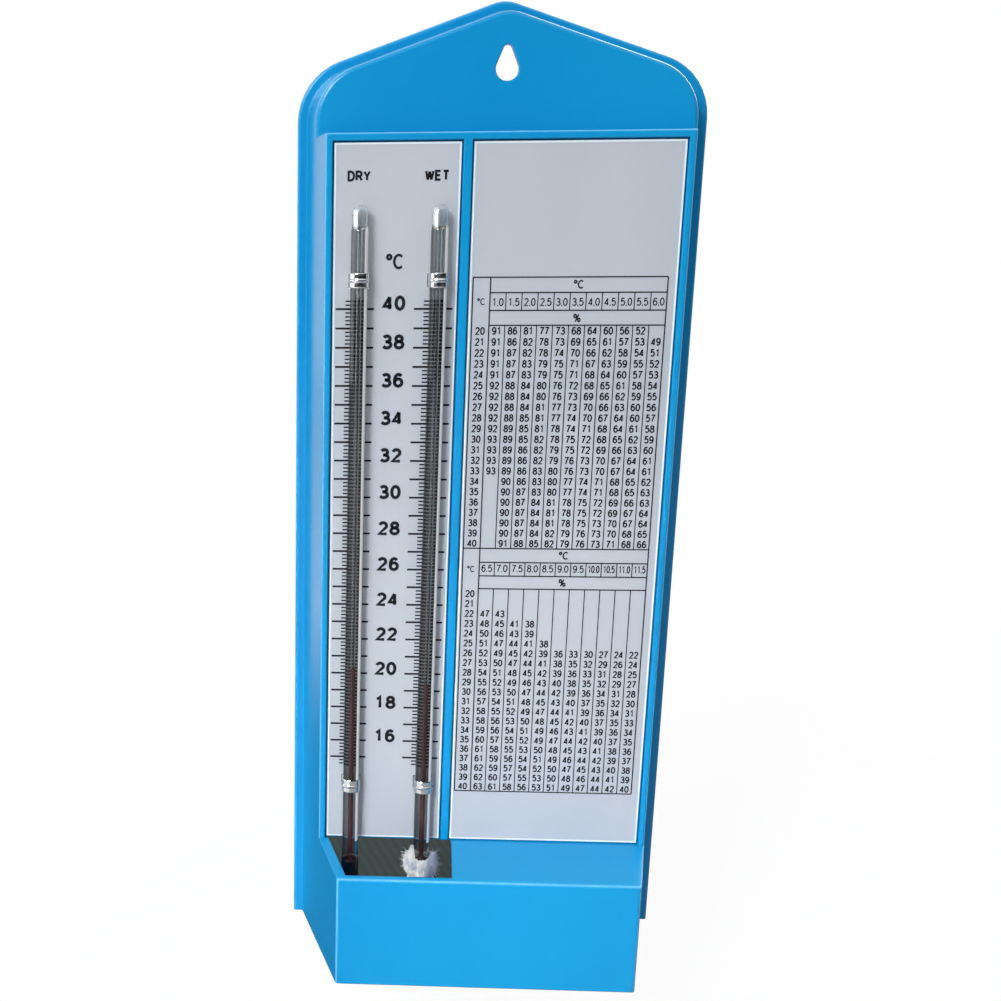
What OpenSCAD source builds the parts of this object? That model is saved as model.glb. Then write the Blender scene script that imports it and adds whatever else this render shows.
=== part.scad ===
// Wet and dry bulb hygrometer for a wall: one moulded case, two printed plates,
// two glass thermometers and a water feeder under the wick.
// X runs to the right seen from the front, Y towards the wall, Z up.
// The origin is the middle of the base. A depth is measured forwards from the wall.

/* [Case] */
// Width over the wall flange
case_w = 120; // [116:1:140]
// Height from the open bottom to the top of the gable
case_h = 290; // [284:1:320]
// Depth from the wall to the front of the box
case_d = 50; // [47:1:62]
// Thickness of the flange that lies against the wall
flange_t = 2.4; // [1.8:0.1:4]
// How far the flange stands out beyond the side walls
flange_lip = 2.95; // [2:0.05:4]
// Thickness of the side walls
wall_t = 2.8; // [2:0.1:3.4]
// Thickness of the panels, the shelf and the front of the box
panel_t = 2.3; // [1.6:0.1:3.2]
// Lean of the gable walls, mm inwards for each mm of depth
gable_draft = 0.13; // [0.06:0.01:0.2]
// Slope of the gable to each side, degrees
gable_slope = 18.8; // [14:0.1:22]
// Radius of the flange at the shoulders
shoulder_r = 18; // [12:0.5:22]
// How much smaller the radius of the wall is there
shoulder_less = 2; // [1:0.1:4]
// Radius at the top of the gable
apex_r = 11; // [6:0.5:16]
// Radius of the moulded edges of the flange, the gable and the box
edge_r = 1.2; // [0.6:0.1:1.6]

/* [Hanging hole] */
// Distance of the round part's centre below the top of the gable
hole_drop = 20; // [17:0.5:24]
// Radius of the round part that a screw head passes
hole_r = 3.3; // [2.8:0.1:4]
// Radius of the narrow top that hangs on the screw
hole_top_r = 1.3; // [1:0.1:2]
// Distance between the centres of the two rounds
hole_rise = 5.2; // [4:0.1:6.5]

/* [Frame and plates] */
// Depth of the front of the raised frame
frame_d = 26.2; // [24:0.1:30]
// Step from the frame back to the gable panel
frame_step = 12.4; // [4:0.1:14]
// Width of the frame above the plates
frame_rim = 2.2; // [1.8:0.1:4]
// Width of the frame beside the plates
frame_side = 1.9; // [1.6:0.1:4]
// Radius of the moulded edges of the frame
frame_r = 0.8; // [0.4:0.1:1.4]
// How far the plates lie behind the front of the frame
plate_sink = 0.8; // [0.4:0.1:1.4]
// Thickness of both plates
plate_t = 1.2; // [0.5:0.1:1.6]
// Height of both plates
plate_h = 210.9; // [206:0.1:214]
// Height of the lower edge of both plates
plate_z = 38.4; // [38.2:0.1:41]
// Width of the plate with the temperature scales
scale_w = 35.7; // [34:0.1:38]
// Width of the plate with the humidity table
table_w = 58.6; // [56:0.1:60]
// Width of the rib between the plates
rib_w = 2.5; // [1.6:0.1:3.4]
// Width of the groove round each plate
plate_gap = 0.5; // [0.05:0.05:0.8]

/* [Box and well] */
// Height of the shelf where it meets the panel
shelf_z = 37.8; // [36:0.1:38]
// Height of the front of the box
box_z = 35.2; // [33:0.1:36.4]
// Height of the edge of the panel left between the well and the plate
well_lip = 1; // [0.6:0.1:1.4]
// Width of the edge left between the well and the side wall
well_ledge = 0.3; // [0.2:0.1:2]
// Right edge of the well at the panel, from the middle of the case
well_x = -9; // [-10:0.1:-6]
// How far the right edge of the well runs to the left at the front
well_skew = 1.7; // [0:0.1:3]

/* [Thermometers] */
// Distance of the dry stem from the left edge of its plate
dry_inset = 7.5; // [6.5:0.1:8.5]
// Distance between the two stems
stem_pitch = 22.6; // [20:0.1:24]
// Radius of the glass stem
stem_r = 2.5; // [2:0.05:2.7]
// Gap between the stem and the plate
stem_gap = 0.2; // [0.1:0.05:0.5]
// Radius of the bore
bore_r = 0.5; // [0.3:0.05:0.7]
// Radius of the bulb
bulb_r = 2.8; // [2.6:0.05:3.1]
// Height of the lowest point of the bulb
bulb_z = 20; // [19:0.1:22]
// Length of the bulb
bulb_len = 13; // [11.5:0.1:14]
// Thickness of the glass of the bulb and of the chamber at the top
glass_t = 0.5; // [0.35:0.05:0.8]
// Length of the cone between bulb and stem
bulb_neck = 2; // [1.6:0.1:3]
// Height of the lowest mark of the scales
mark_z = 65.5; // [63:0.1:68]
// Reading at the lowest mark, degrees
mark_low = 15; // [15:1:15]
// Reading at the highest mark, degrees
mark_high = 40; // [36:1:40]
// Length of one degree on the scales
degree = 5.52; // [5:0.01:5.6]
// Length of the stem above the highest mark, with its chamber
stem_above = 28.9; // [24:0.1:32]
// Length of the chamber at the top
chamber_len = 7.4; // [6:0.1:10]
// Radius of the chamber at the top
chamber_r = 2.35; // [2:0.05:2.6]
// Length of the cone between stem and chamber
chamber_neck = 1; // [0.6:0.1:2]
// Reading of the dry thermometer at rest, degrees
dry_reading = 20.5; // [18:0.1:30]
// Reading of the wet thermometer at rest, degrees
wet_reading = 19.6; // [17:0.1:28]
// Height of the curved top end of each thread of liquid
meniscus_h = 1.6; // [1:0.1:2.5]
// Clearance between a thread of liquid and its bore
thread_gap = 0.05; // [0.02:0.01:0.08]

/* [Straps] */
// Width of a strap along its stem
strap_w = 4.1; // [3:0.1:5]
// Thickness of the sheet metal
strap_t = 0.35; // [0.25:0.05:0.5]
// Clearance between strap and stem
strap_gap = 0.05; // [0.02:0.01:0.1]
// Height of the bead pressed round the middle of a strap
bead_h = 0.3; // [0.2:0.05:0.5]
// Length of each leg bent over behind the panel
tab_len = 3; // [2:0.1:3.6]
// Clearance of a leg in its slot
slot_gap = 0.15; // [0.1:0.05:0.25]
// Height of the upper straps above the highest mark
strap_above = 8; // [6:0.1:12]
// Distance of the lower straps below the lowest mark
strap_below = 8.1; // [6:0.1:12]

/* [Wick] */
// Length of the tail below the bulb
tail_len = 15; // [13.5:0.1:15.5]
// Radius of the tail
tail_r = 1.8; // [1.5:0.05:2]
// Radius of the sleeve where the upper thread ties it to the bulb
sleeve_r = 3.7; // [3.5:0.05:4.2]
// How far the folds of the sleeve stand out beyond the tied part
sleeve_full = 1.6; // [0.8:0.1:1.8]
// Depth of the folds
fold = 0.5; // [0.2:0.05:0.8]
// Number of folds round the sleeve
folds = 7; // [5:1:9]
// Length of the frayed collar above the bulb
collar_len = 2.3; // [1.5:0.1:4]
// Thickness of the collar at its top
collar_t = 1; // [0.6:0.1:1.6]
// Clearance between cotton and glass
cotton_gap = 0.08; // [0.05:0.01:0.15]
// How far a tie draws the cotton in
waist = 0.2; // [0.1:0.05:0.4]
// Length over which the cotton bulges from a tie to its full width
puff = 1.6; // [1:0.1:2.5]
// Radius of the tying thread
tie_r = 0.25; // [0.15:0.05:0.3]
// Distance between the turns of the thread
tie_pitch = 1; // [0.95:0.05:1.2]
// Number of turns of the thread
tie_turns = 2; // [1:1:2]

/* [Feeder] */
// Radius of the glass body and of the open cup
feeder_r = 8.5; // [7.6:0.1:8.8]
// Thickness of the glass
feeder_t = 1; // [0.7:0.1:1.2]
// Height of the lowest point of the glass
feeder_z = 2.5; // [1.5:0.1:3]
// Length of the straight part of the body
feeder_len = 34; // [26:0.5:36]
// Height of the cup
cup_h = 12; // [11.6:0.1:12.4]
// How far the rim of the cup flares
cup_flare = 0.7; // [0.3:0.1:1]
// Height of the flared part of the rim
flare_h = 2.5; // [1.5:0.1:4]
// Gap between the cup and the round end of the body
neck_gap = 1.9; // [1:0.1:3]
// Radius of the neck that joins them
neck_r = 3.5; // [3:0.1:3.8]
// Height of the underside of the neck above the lowest point of the glass
neck_up = 0.5; // [0.3:0.1:1.5]
// Height of the water above the lowest point of the glass
water_h = 7.5; // [7:0.1:8]
// Clearance between water and glass
water_gap = 0.08; // [0.05:0.01:0.15]
// Clearance between water and wick
wick_gap = 0.3; // [0.2:0.05:0.5]

/* [Feeder clips] */
// Width of a fork clip along the body
clip_w = 8; // [5:0.5:10]
// Thickness of the spring strip
clip_t = 0.5; // [0.4:0.05:0.8]
// Clearance between the fork and the glass
clip_gap = 0.05; // [0.02:0.01:0.1]
// How far the ends of the fork turn outwards
clip_flare = 1; // [0.6:0.1:2]
// Distance of each clip from the end of the straight part of the body
clip_inset = 7; // [5:0.5:9]
// Radius of the boss over a clip
boss_r = 3; // [2.6:0.1:4]
// Radius of the screw in the boss
screw_r = 1.1; // [0.9:0.05:1.4]
// Length of the screw above its head
screw_len = 7; // [5:0.5:9]
// Radius of the screw head
head_r = 2.3; // [2:0.1:2.8]
// Height of the screw head
head_h = 1.2; // [0.8:0.1:1.6]
// Width of the slot in the screw head
driver_w = 0.6; // [0.4:0.1:0.9]
// Radial clearance of the screw in the boss
screw_gap = 0.05; // [0.03:0.01:0.08]
// Gap between the screw head and the glass
head_gap = 0.4; // [0.2:0.1:0.8]

/* [Hidden] */
$fn = 64;
// How far a cutting shape runs past the face it cuts
past = 1;
// How far an outline that only rounds the front edge of a wall runs outside that wall
over = 0.02;
// Steps of a rounded corner
steps = 8;

// Depths, from the wall forwards
wall_y = case_d / 2;
header_d = frame_d - frame_step;
plate_d = frame_d - plate_sink;
seat_d = plate_d - plate_t;
panel_back_d = seat_d - panel_t;
axis_d = plate_d + stem_gap + stem_r;
axis_y = wall_y - axis_d;

// Heights
plate_top = plate_z + plate_h;
frame_top = plate_top + plate_gap + frame_rim;
mark_top = mark_z + (mark_high - mark_low) * degree;
tip_z = mark_top + stem_above;
shoulder_z = tip_z - chamber_len;
bulb_top = bulb_z + bulb_len;
foot_z = bulb_top + bulb_neck / 2;
hole_z = case_h - hole_drop;

// Places across the case
recess_w = scale_w + rib_w + table_w + 4 * plate_gap;
frame_w = recess_w + 2 * frame_side;
scale_x = -recess_w / 2 + plate_gap;
rib_x = scale_x + scale_w + plate_gap;
table_x = rib_x + rib_w + plate_gap;
dry_x = scale_x + dry_inset;
wet_x = dry_x + stem_pitch;

// Feeder: its body lies along X with its axis in line with the stems
feeder_axis_z = feeder_z + feeder_r;
body_x0 = wet_x + feeder_r + neck_gap + feeder_r;
body_x1 = body_x0 + feeder_len;
clip_x = [body_x0 + clip_inset, body_x1 - clip_inset];
boss_z = feeder_axis_z + feeder_r + head_gap + head_h + clip_t;

// Lean of the side walls, from the flange to the front of the frame
side_draft = (case_w / 2 - flange_lip - frame_w / 2) / (frame_d - flange_t);

function y_at(d) = wall_y - d;
function half_w(d) = case_w / 2 - flange_lip - side_draft * (d - flange_t);
function level_z(reading) = mark_z + (reading - mark_low) * degree;
function unit(v) = v / norm(v);

// Points of the arc that rounds the corner b between its neighbours a and c
function fillet(a, b, c, r, n = steps) =
    let (
        u = unit(a - b),
        v = unit(c - b),
        half = acos(u * v) / 2,
        centre = b + unit(u + v) * r / sin(half),
        p = b + u * r / tan(half) - centre,
        q = b + v * r / tan(half) - centre,
        start = atan2(p.y, p.x),
        turn = atan2(p.x * q.y - p.y * q.x, p * q)
    )
    [for (i = [0 : n]) centre + r * [cos(start + turn * i / n), sin(start + turn * i / n)]];

// Points of an arc about a centre, from one angle to another
function arc(centre, r, from, to, n = steps) =
    [for (i = [0 : n]) let (a = from + (to - from) * i / n) centre + r * [cos(a), sin(a)]];

// Outline of the gabled front in X and Z, from a lower edge upwards
function gable(half, apex, r, r_top, low) =
    let (shoulder = apex - half * tan(gable_slope))
    concat(
        [[half, low]],
        fillet([half, low], [half, shoulder], [0, apex], r),
        fillet([half, shoulder], [0, apex], [-half, shoulder], r_top),
        fillet([0, apex], [-half, shoulder], [-half, low], r),
        [[-half, low]]
    );

// The sharp top that gives the rounded gable its height
sharp_top = case_h + apex_r * (1 / cos(gable_slope) - 1);

// Outline of the flange, drawn in by an inset
function flange_line(inset) =
    gable(case_w / 2 - inset, sharp_top - inset / cos(gable_slope), shoulder_r - inset,
          apex_r - inset, 0);

// Outline of the gable wall at a depth, drawn in by an inset
function wall_line(d, inset, low) =
    let (in_top = flange_lip + gable_draft * (d - flange_t) + inset)
    gable(half_w(d) - inset + 2 * over, sharp_top - in_top / cos(gable_slope),
          shoulder_r - shoulder_less - inset, apex_r - inset, low);

// Turns a flat shape drawn in X and Z into a solid between two depths
module between(d0, d1) {
    translate([0, y_at(d0), 0]) rotate([90, 0, 0]) linear_extrude(d1 - d0) children();
}

// Solid through outlines in X and Z, one at each depth, nearest the wall first
module loft(depths, lines) {
    n = len(lines[0]);
    m = len(depths);
    points = [for (j = [0 : m - 1]) for (p = lines[j]) [p.x, y_at(depths[j]), p.y]];
    sides = [for (j = [0 : m - 2]) for (i = [0 : n - 1])
        let (k = (i + 1) % n, a = j * n, b = a + n)
        each [[a + i, b + i, b + k], [a + i, b + k, a + k]]];
    back = [[for (i = [0 : n - 1]) i]];
    front = [[for (i = [n - 1 : -1 : 0]) (m - 1) * n + i]];
    polyhedron(points, concat(sides, back, front), convexity = 4);
}

// Section of the drafted body in X and Y, to a depth, drawn in from the sides
module section(depth, inset, r) {
    w0 = half_w(-past) - inset;
    w1 = half_w(depth) - inset;
    right = fillet([w0, y_at(-past)], [w1, y_at(depth)], [0, y_at(depth)], r);
    polygon(concat([[w0, y_at(-past)]], right,
                   [for (i = [len(right) - 1 : -1 : 0]) [-right[i].x, right[i].y]],
                   [[-w0, y_at(-past)]]));
}

// Side view of the box in Y and Z, with its shelf sloping down to the front
module box_side(front, drop, low, r) {
    slope = (shelf_z - box_z) / (case_d - frame_d);
    top = box_z - drop + slope * (case_d - front);
    rotate([90, 0, 90]) linear_extrude(case_w, center = true)
        polygon(concat(
            [[y_at(-past), low], [y_at(-past), shelf_z - drop], [y_at(frame_d), shelf_z - drop]],
            fillet([y_at(frame_d), shelf_z - drop], [y_at(front), top], [y_at(front), low], r),
            [[y_at(front), low]]));
}

module flange() {
    loft([0, flange_t - edge_r * 0.6, flange_t - edge_r * 0.2, flange_t],
         [flange_line(0), flange_line(0), flange_line(edge_r * 0.25), flange_line(edge_r * 0.7)]);
}

// The gabled header behind the frame, its front edge rounded
module gable_shape() {
    d0 = header_d - edge_r;
    loft([-past, d0, header_d - edge_r * 0.3, header_d],
         [wall_line(-past, 0, shelf_z), wall_line(d0, 0, shelf_z),
          wall_line(d0, edge_r * 0.3, shelf_z), wall_line(d0, edge_r, shelf_z)]);
}

// The block that carries the frame, its front edges rounded at the sides and the top
module frame_block() {
    intersection() {
        linear_extrude(frame_top) section(frame_d, -over, frame_r);
        rotate([90, 0, 90]) linear_extrude(case_w, center = true)
            polygon(concat(
                [[y_at(-past), 0], [y_at(-past), frame_top]],
                fillet([y_at(-past), frame_top], [y_at(frame_d), frame_top], [y_at(frame_d), 0],
                       frame_r),
                [[y_at(frame_d), 0]]));
    }
}

// Outside of the case but for its flange: the drafted walls, and inside them
// the steps of the box, the frame and the gabled header
module body_block() {
    intersection() {
        linear_extrude(case_h) section(case_d, 0, edge_r);
        translate([-case_w / 2, y_at(case_d), 0]) cube([case_w, case_d, case_h]);
        union() {
            box_side(case_d, 0, 0, edge_r);
            frame_block();
            gable_shape();
        }
    }
}

module gable_hollow() {
    d = header_d - panel_t;
    loft([-past, d], [wall_line(-past, wall_t, shelf_z), wall_line(d, wall_t, shelf_z)]);
}

// Inside of the case, open at the wall and at the bottom
module body_hollow() {
    r = edge_r / 2;
    intersection() {
        translate([0, 0, -past]) linear_extrude(case_h) section(case_d - panel_t, wall_t, r);
        union() {
            box_side(case_d - panel_t, panel_t, -past, r);
            translate([0, 0, -past]) linear_extrude(frame_top - frame_rim + past)
                section(panel_back_d, wall_t - over, r);
            gable_hollow();
        }
    }
}

// The recess for the plates, with the rib left standing between them
module plate_recess() {
    difference() {
        between(seat_d, frame_d + past)
            translate([-recess_w / 2, shelf_z]) square([recess_w, plate_top + plate_gap - shelf_z]);
        between(seat_d - past, frame_d)
            translate([rib_x, shelf_z - past]) square([rib_w, plate_h + 2 * past + plate_z - shelf_z]);
    }
}

// Outline in X and Y of the opening over the bulbs, from a depth to the front of the box
module well_outline(back) {
    front = case_d - panel_t;
    edge = wall_t + well_ledge;
    polygon([
        [-half_w(back) + edge, y_at(back)],
        [-half_w(front) + edge, y_at(front)],
        [well_x - well_skew, y_at(front)],
        [well_x, y_at(seat_d)],
        [well_x, y_at(back)]
    ]);
}

// The opening over the bulbs: in front of the panel it takes the whole shelf,
// and through the panel it stops short of the plate
module well_cut() {
    low = box_z - 2 * panel_t;
    translate([0, 0, low]) {
        linear_extrude(shelf_z + (plate_z - shelf_z) / 2 - low) well_outline(seat_d);
        linear_extrude(plate_z - well_lip - low) well_outline(panel_back_d - past);
    }
}

// Teardrop for the screw in the wall
module hanging_hole() {
    tilt = asin((hole_r - hole_top_r) / hole_rise);
    between(header_d - panel_t - past, header_d + past) translate([0, hole_z]) {
        circle(r = hole_r);
        translate([0, hole_rise]) circle(r = hole_top_r);
        polygon([
            hole_r * [cos(tilt), sin(tilt)],
            [0, hole_rise] + hole_top_r * [cos(tilt), sin(tilt)],
            [0, hole_rise] + hole_top_r * [-cos(tilt), sin(tilt)],
            hole_r * [-cos(tilt), sin(tilt)]
        ]);
    }
}

// Slots for the two legs of one strap, through plate and panel
module strap_slots(x, z) {
    inner = stem_r + strap_gap - slot_gap;
    long = strap_w + 2 * slot_gap;
    for (side = [-1, 1])
        translate([x + side * (inner + (strap_t + 2 * slot_gap) / 2), y_at(plate_d) + panel_t, z])
            cube([strap_t + 2 * slot_gap, 4 * panel_t, long], center = true);
}

module all_slots() {
    for (x = [dry_x, wet_x])
        for (z = [mark_top + strap_above, mark_z - strap_below])
            strap_slots(x, z);
}

// Bosses under the shelf, one over each feeder clip
module bosses() {
    for (x = clip_x)
        translate([x, axis_y, boss_z])
            cylinder(r = boss_r, h = shelf_z - panel_t / 2 - boss_z - (shelf_z - box_z) / 4);
}

module boss_bores() {
    for (x = clip_x)
        translate([x, axis_y, boss_z - past])
            cylinder(r = screw_r + screw_gap, h = screw_len + 2 * past);
}

module case() {
    color([0.13, 0.58, 0.85])
    difference() {
        union() {
            difference() {
                union() {
                    flange();
                    body_block();
                }
                body_hollow();
            }
            bosses();
        }
        plate_recess();
        well_cut();
        hanging_hole();
        all_slots();
        boss_bores();
    }
}

module plate(x, w) {
    between(seat_d, plate_d) translate([x, plate_z]) square([w, plate_h]);
}

module scale_plate() {
    color([0.88, 0.89, 0.93])
    difference() {
        plate(scale_x, scale_w);
        all_slots();
    }
}

module table_plate() {
    color([0.88, 0.89, 0.93]) plate(table_x, table_w);
}

// Outside of a thermometer as radius and height, grown by a gap
function glass_outside(gap) =
    let (
        rb = bulb_r + gap,
        rs = stem_r + gap,
        rc = chamber_r + gap
    )
    concat(
        arc([0, bulb_z + bulb_r], rb, -90, 0),
        [[rb, foot_z - bulb_neck], [rs, foot_z], [rs, shoulder_z], [rc, shoulder_z + chamber_neck]],
        arc([0, tip_z - chamber_r], rc, 0, 90)
    );

// Space inside a bulb, drawn in by a gap
function bulb_inside(gap) =
    let (r = bulb_r - glass_t - gap)
    concat(
        arc([0, bulb_z + bulb_r], r, -90, 0),
        [[r, foot_z - bulb_neck - glass_t], [bore_r - gap, foot_z]]
    );

// Space inside the chamber at the top
function chamber_inside() =
    let (r = chamber_r - glass_t)
    concat([[bore_r, shoulder_z], [r, shoulder_z + chamber_neck + glass_t]],
           arc([0, tip_z - chamber_r], r, 0, 90));

module glass_tube(x) {
    color([0.82, 0.87, 0.9, 0.5]) translate([x, axis_y, 0])
    rotate_extrude() difference() {
        polygon(glass_outside(0));
        polygon(concat(bulb_inside(0), chamber_inside()));
    }
}

module dry_tube() { glass_tube(dry_x); }
module wet_tube() { glass_tube(wet_x); }

module reservoir(x) {
    color([0.35, 0.08, 0.07]) translate([x, axis_y, 0])
    rotate_extrude() polygon(concat(bulb_inside(thread_gap), [[0, foot_z]]));
}

module dry_reservoir() { reservoir(dry_x); }
module wet_reservoir() { reservoir(wet_x); }

// The thread from the top of the bulb to the foot of its meniscus
module column(x, reading) {
    foot = foot_z + thread_gap;
    color([0.45, 0.12, 0.1]) translate([x, axis_y, foot])
    cylinder(r = bore_r - thread_gap, h = level_z(reading) - meniscus_h - foot);
}

module dry_column() { column(dry_x, dry_reading); }
module wet_column() { column(wet_x, wet_reading); }

// The end of the thread, hollowed by the pull of the glass
module meniscus(x, reading) {
    r = bore_r - thread_gap;
    color([0.45, 0.12, 0.1]) translate([x, axis_y, level_z(reading) - meniscus_h])
    rotate_extrude() polygon([[0, 0], [r, 0], [r, meniscus_h], [r * 0.7, meniscus_h - r * 0.5],
                              [0, meniscus_h - r * 0.7]]);
}

module dry_meniscus() { meniscus(dry_x, dry_reading); }
module wet_meniscus() { meniscus(wet_x, wet_reading); }

// Sheet metal strap: half round over the stem, legs back through the plate and
// the panel, tabs bent outwards behind the panel, a bead pressed round the middle
module strap(x, z) {
    r0 = stem_r + strap_gap;
    r1 = r0 + strap_t;
    leg = axis_d - panel_back_d + strap_gap + strap_t;
    color([0.8, 0.82, 0.84]) translate([x, axis_y, z]) {
        translate([0, 0, -strap_w / 2]) linear_extrude(strap_w) {
            difference() {
                circle(r = r1);
                circle(r = r0);
                translate([-2 * r1, 0]) square([4 * r1, 2 * r1]);
            }
            for (side = [-1, 1]) {
                translate([side * (r0 + r1) / 2 - strap_t / 2, 0]) square([strap_t, leg]);
                translate([side * (r1 + tab_len / 2) - tab_len / 2, leg - strap_t])
                    square([tab_len, strap_t]);
            }
        }
        rotate([0, 0, 180]) rotate_extrude(angle = 180)
            polygon([[r1 - strap_t / 2, -2 * bead_h], [r1, -2 * bead_h], [r1 + bead_h, -bead_h / 2],
                     [r1 + bead_h, bead_h / 2], [r1, 2 * bead_h], [r1 - strap_t / 2, 2 * bead_h]]);
    }
}

module dry_strap_upper() { strap(dry_x, mark_top + strap_above); }
module dry_strap_lower() { strap(dry_x, mark_z - strap_below); }
module wet_strap_upper() { strap(wet_x, mark_top + strap_above); }
module wet_strap_lower() { strap(wet_x, mark_z - strap_below); }

// Middle heights of the two ties, and half the height that their turns take
tie_half = (tie_turns * tie_pitch) / 2 + tie_r + waist / 2;
tie_upper_z = bulb_z + bulb_len * 0.42;
tie_lower_z = bulb_z - 2 * cotton_gap - tie_half;

// Stations of the wick from the end of its tail to its frayed top:
// height, radius and depth of the folds
wick_line = [
    [bulb_z - tail_len, tail_r - 2 * waist, 0],
    [bulb_z - tail_len + tail_r / 2, tail_r, 0],
    [tie_lower_z - tie_half - puff / 2, tail_r, 0],
    [tie_lower_z - tie_half, tail_r - waist, 0],
    [tie_lower_z + tie_half, tail_r - waist, 0],
    [bulb_z + puff / 3, sleeve_r - 2 * waist, fold / 2],
    [(bulb_z + tie_upper_z - tie_half) / 2 + puff / 5, sleeve_r + sleeve_full * 0.7, fold],
    [tie_upper_z - tie_half, sleeve_r, 0],
    [tie_upper_z + tie_half, sleeve_r, 0],
    [tie_upper_z + tie_half + puff, sleeve_r + sleeve_full, fold],
    [bulb_top - puff, sleeve_r + sleeve_full * 1.05, fold],
    [bulb_top + puff / 4, sleeve_r + sleeve_full * 0.4, fold],
    [bulb_top + collar_len, stem_r + collar_t, fold / 2]
];

// Cotton sleeve with its folds, the tail below and the bulb's space cut out
module wick() {
    around = 42;
    m = len(wick_line);
    points = [for (s = wick_line) for (i = [0 : around - 1])
        let (a = 360 * i / around, r = s[1] + s[2] * (cos(folds * a) - 1) / 2)
        [r * cos(a), r * sin(a), s[0]]];
    sides = [for (j = [0 : m - 2]) for (i = [0 : around - 1])
        let (k = (i + 1) % around, a = j * around, b = a + around)
        each [[a + i, b + i, b + k], [a + i, b + k, a + k]]];
    low = [[for (i = [0 : around - 1]) i]];
    top = [[for (i = [around - 1 : -1 : 0]) (m - 1) * around + i]];
    color([0.93, 0.94, 0.95]) translate([wet_x, axis_y, 0])
    difference() {
        polyhedron(points, concat(sides, low, top), convexity = 6);
        rotate_extrude() polygon(glass_outside(cotton_gap));
    }
}

// Thread wound round the wick: a tube along a helix, with six sides
module tie(radius, z) {
    around = 24;
    sides = 6;
    rings = tie_turns * around;
    height = tie_turns * tie_pitch;
    lead = tie_pitch / (2 * PI * radius);
    echo(str("least gap between turns of a tie: ", tie_pitch - 2 * tie_r, " mm"));
    points = [for (j = [0 : rings])
        let (
            a = 360 * j / around,
            out = [cos(a), sin(a), 0],
            along = unit([-sin(a), cos(a), lead]),
            up = cross(out, along),
            centre = radius * out + [0, 0, z - height / 2 + height * j / rings]
        )
        for (i = [0 : sides - 1])
            let (b = 360 * i / sides)
            centre + tie_r * (cos(b) * out + sin(b) * up)];
    walls = [for (j = [0 : rings - 1]) for (i = [0 : sides - 1])
        let (k = (i + 1) % sides, p = j * sides, q = p + sides)
        each [[p + i, q + i, q + k], [p + i, q + k, p + k]]];
    first = [[for (i = [0 : sides - 1]) i]];
    last = [[for (i = [sides - 1 : -1 : 0]) rings * sides + i]];
    color([0.9, 0.9, 0.88]) translate([wet_x, axis_y, 0])
    polyhedron(points, concat(walls, first, last), convexity = 4);
}

module wick_tie_upper() { tie(sleeve_r + tie_r + cotton_gap, tie_upper_z); }
module wick_tie_lower() { tie(tail_r - waist + tie_r + cotton_gap, tie_lower_z); }

// Body, neck and cup of the feeder as solids, drawn in from the outside by a wall
module feeder_form(inset, cup_top, flare) {
    r = feeder_r - inset;
    corner = r / 2;
    neck_z = feeder_z + neck_r + neck_up;
    translate([body_x0, axis_y, feeder_axis_z]) {
        rotate([0, 90, 0]) cylinder(r = r, h = feeder_len);
        sphere(r = r);
        translate([feeder_len, 0, 0]) sphere(r = r);
    }
    translate([wet_x, axis_y, neck_z]) rotate([0, 90, 0])
        cylinder(r = neck_r - inset, h = body_x0 - wet_x);
    translate([wet_x, axis_y, 0]) rotate_extrude()
        polygon(concat(
            [[0, feeder_z + inset]],
            fillet([0, feeder_z + inset], [r, feeder_z + inset], [r, cup_top], corner),
            [[r, cup_top - flare_h], [r + flare, cup_top], [0, cup_top]]));
}

module feeder_tube() {
    top = feeder_z + cup_h;
    color([0.8, 0.88, 0.9, 0.4])
    difference() {
        feeder_form(0, top, cup_flare);
        feeder_form(feeder_t, top, cup_flare);
        // opens the cup
        translate([wet_x, axis_y, top - over]) cylinder(r = feeder_r, h = past);
    }
}

module feeder_water() {
    level = feeder_z + water_h;
    color([0.75, 0.88, 0.95, 0.5])
    difference() {
        feeder_form(feeder_t + water_gap, level, 0);
        translate([wet_x, axis_y, bulb_z - tail_len - wick_gap])
            cylinder(r = tail_r + wick_gap, h = tail_len);
    }
}

// Centre line of a fork clip seen along the feeder, right half first
clip_half = feeder_r + clip_gap + clip_t / 2;
clip_top = boss_z - feeder_axis_z - clip_t / 2;
clip_right = [[feeder_r * 0.45, clip_top], [clip_half, feeder_r * 0.35],
              [clip_half, -feeder_r * 0.6], [clip_half + clip_flare, -feeder_r * 0.8]];

// Edge of a strip that follows a line at a distance
function beside(line, far) = [for (i = [0 : len(line) - 1])
    let (
        a = i > 0 ? unit(line[i] - line[i - 1]) : unit(line[1] - line[0]),
        b = i < len(line) - 1 ? unit(line[i + 1] - line[i]) : a,
        n = unit([-(a.y + b.y), a.x + b.x]),
        m = far / (n * [-a.y, a.x])
    )
    line[i] + n * m];

module fork_clip(x) {
    left = [for (i = [len(clip_right) - 1 : -1 : 0]) [-clip_right[i].x, clip_right[i].y]];
    line = concat(left, clip_right);
    far = beside(line, -clip_t / 2);
    color([0.7, 0.72, 0.74])
    difference() {
        translate([x - clip_w / 2, axis_y, feeder_axis_z]) rotate([90, 0, 90])
            linear_extrude(clip_w)
                polygon(concat(beside(line, clip_t / 2), [for (i = [len(far) - 1 : -1 : 0]) far[i]]));
        translate([x, axis_y, boss_z - 2 * clip_t])
            cylinder(r = screw_r + 2 * screw_gap, h = 4 * clip_t);
    }
}

module feeder_clip_left() { fork_clip(clip_x[0]); }
module feeder_clip_right() { fork_clip(clip_x[1]); }

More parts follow.
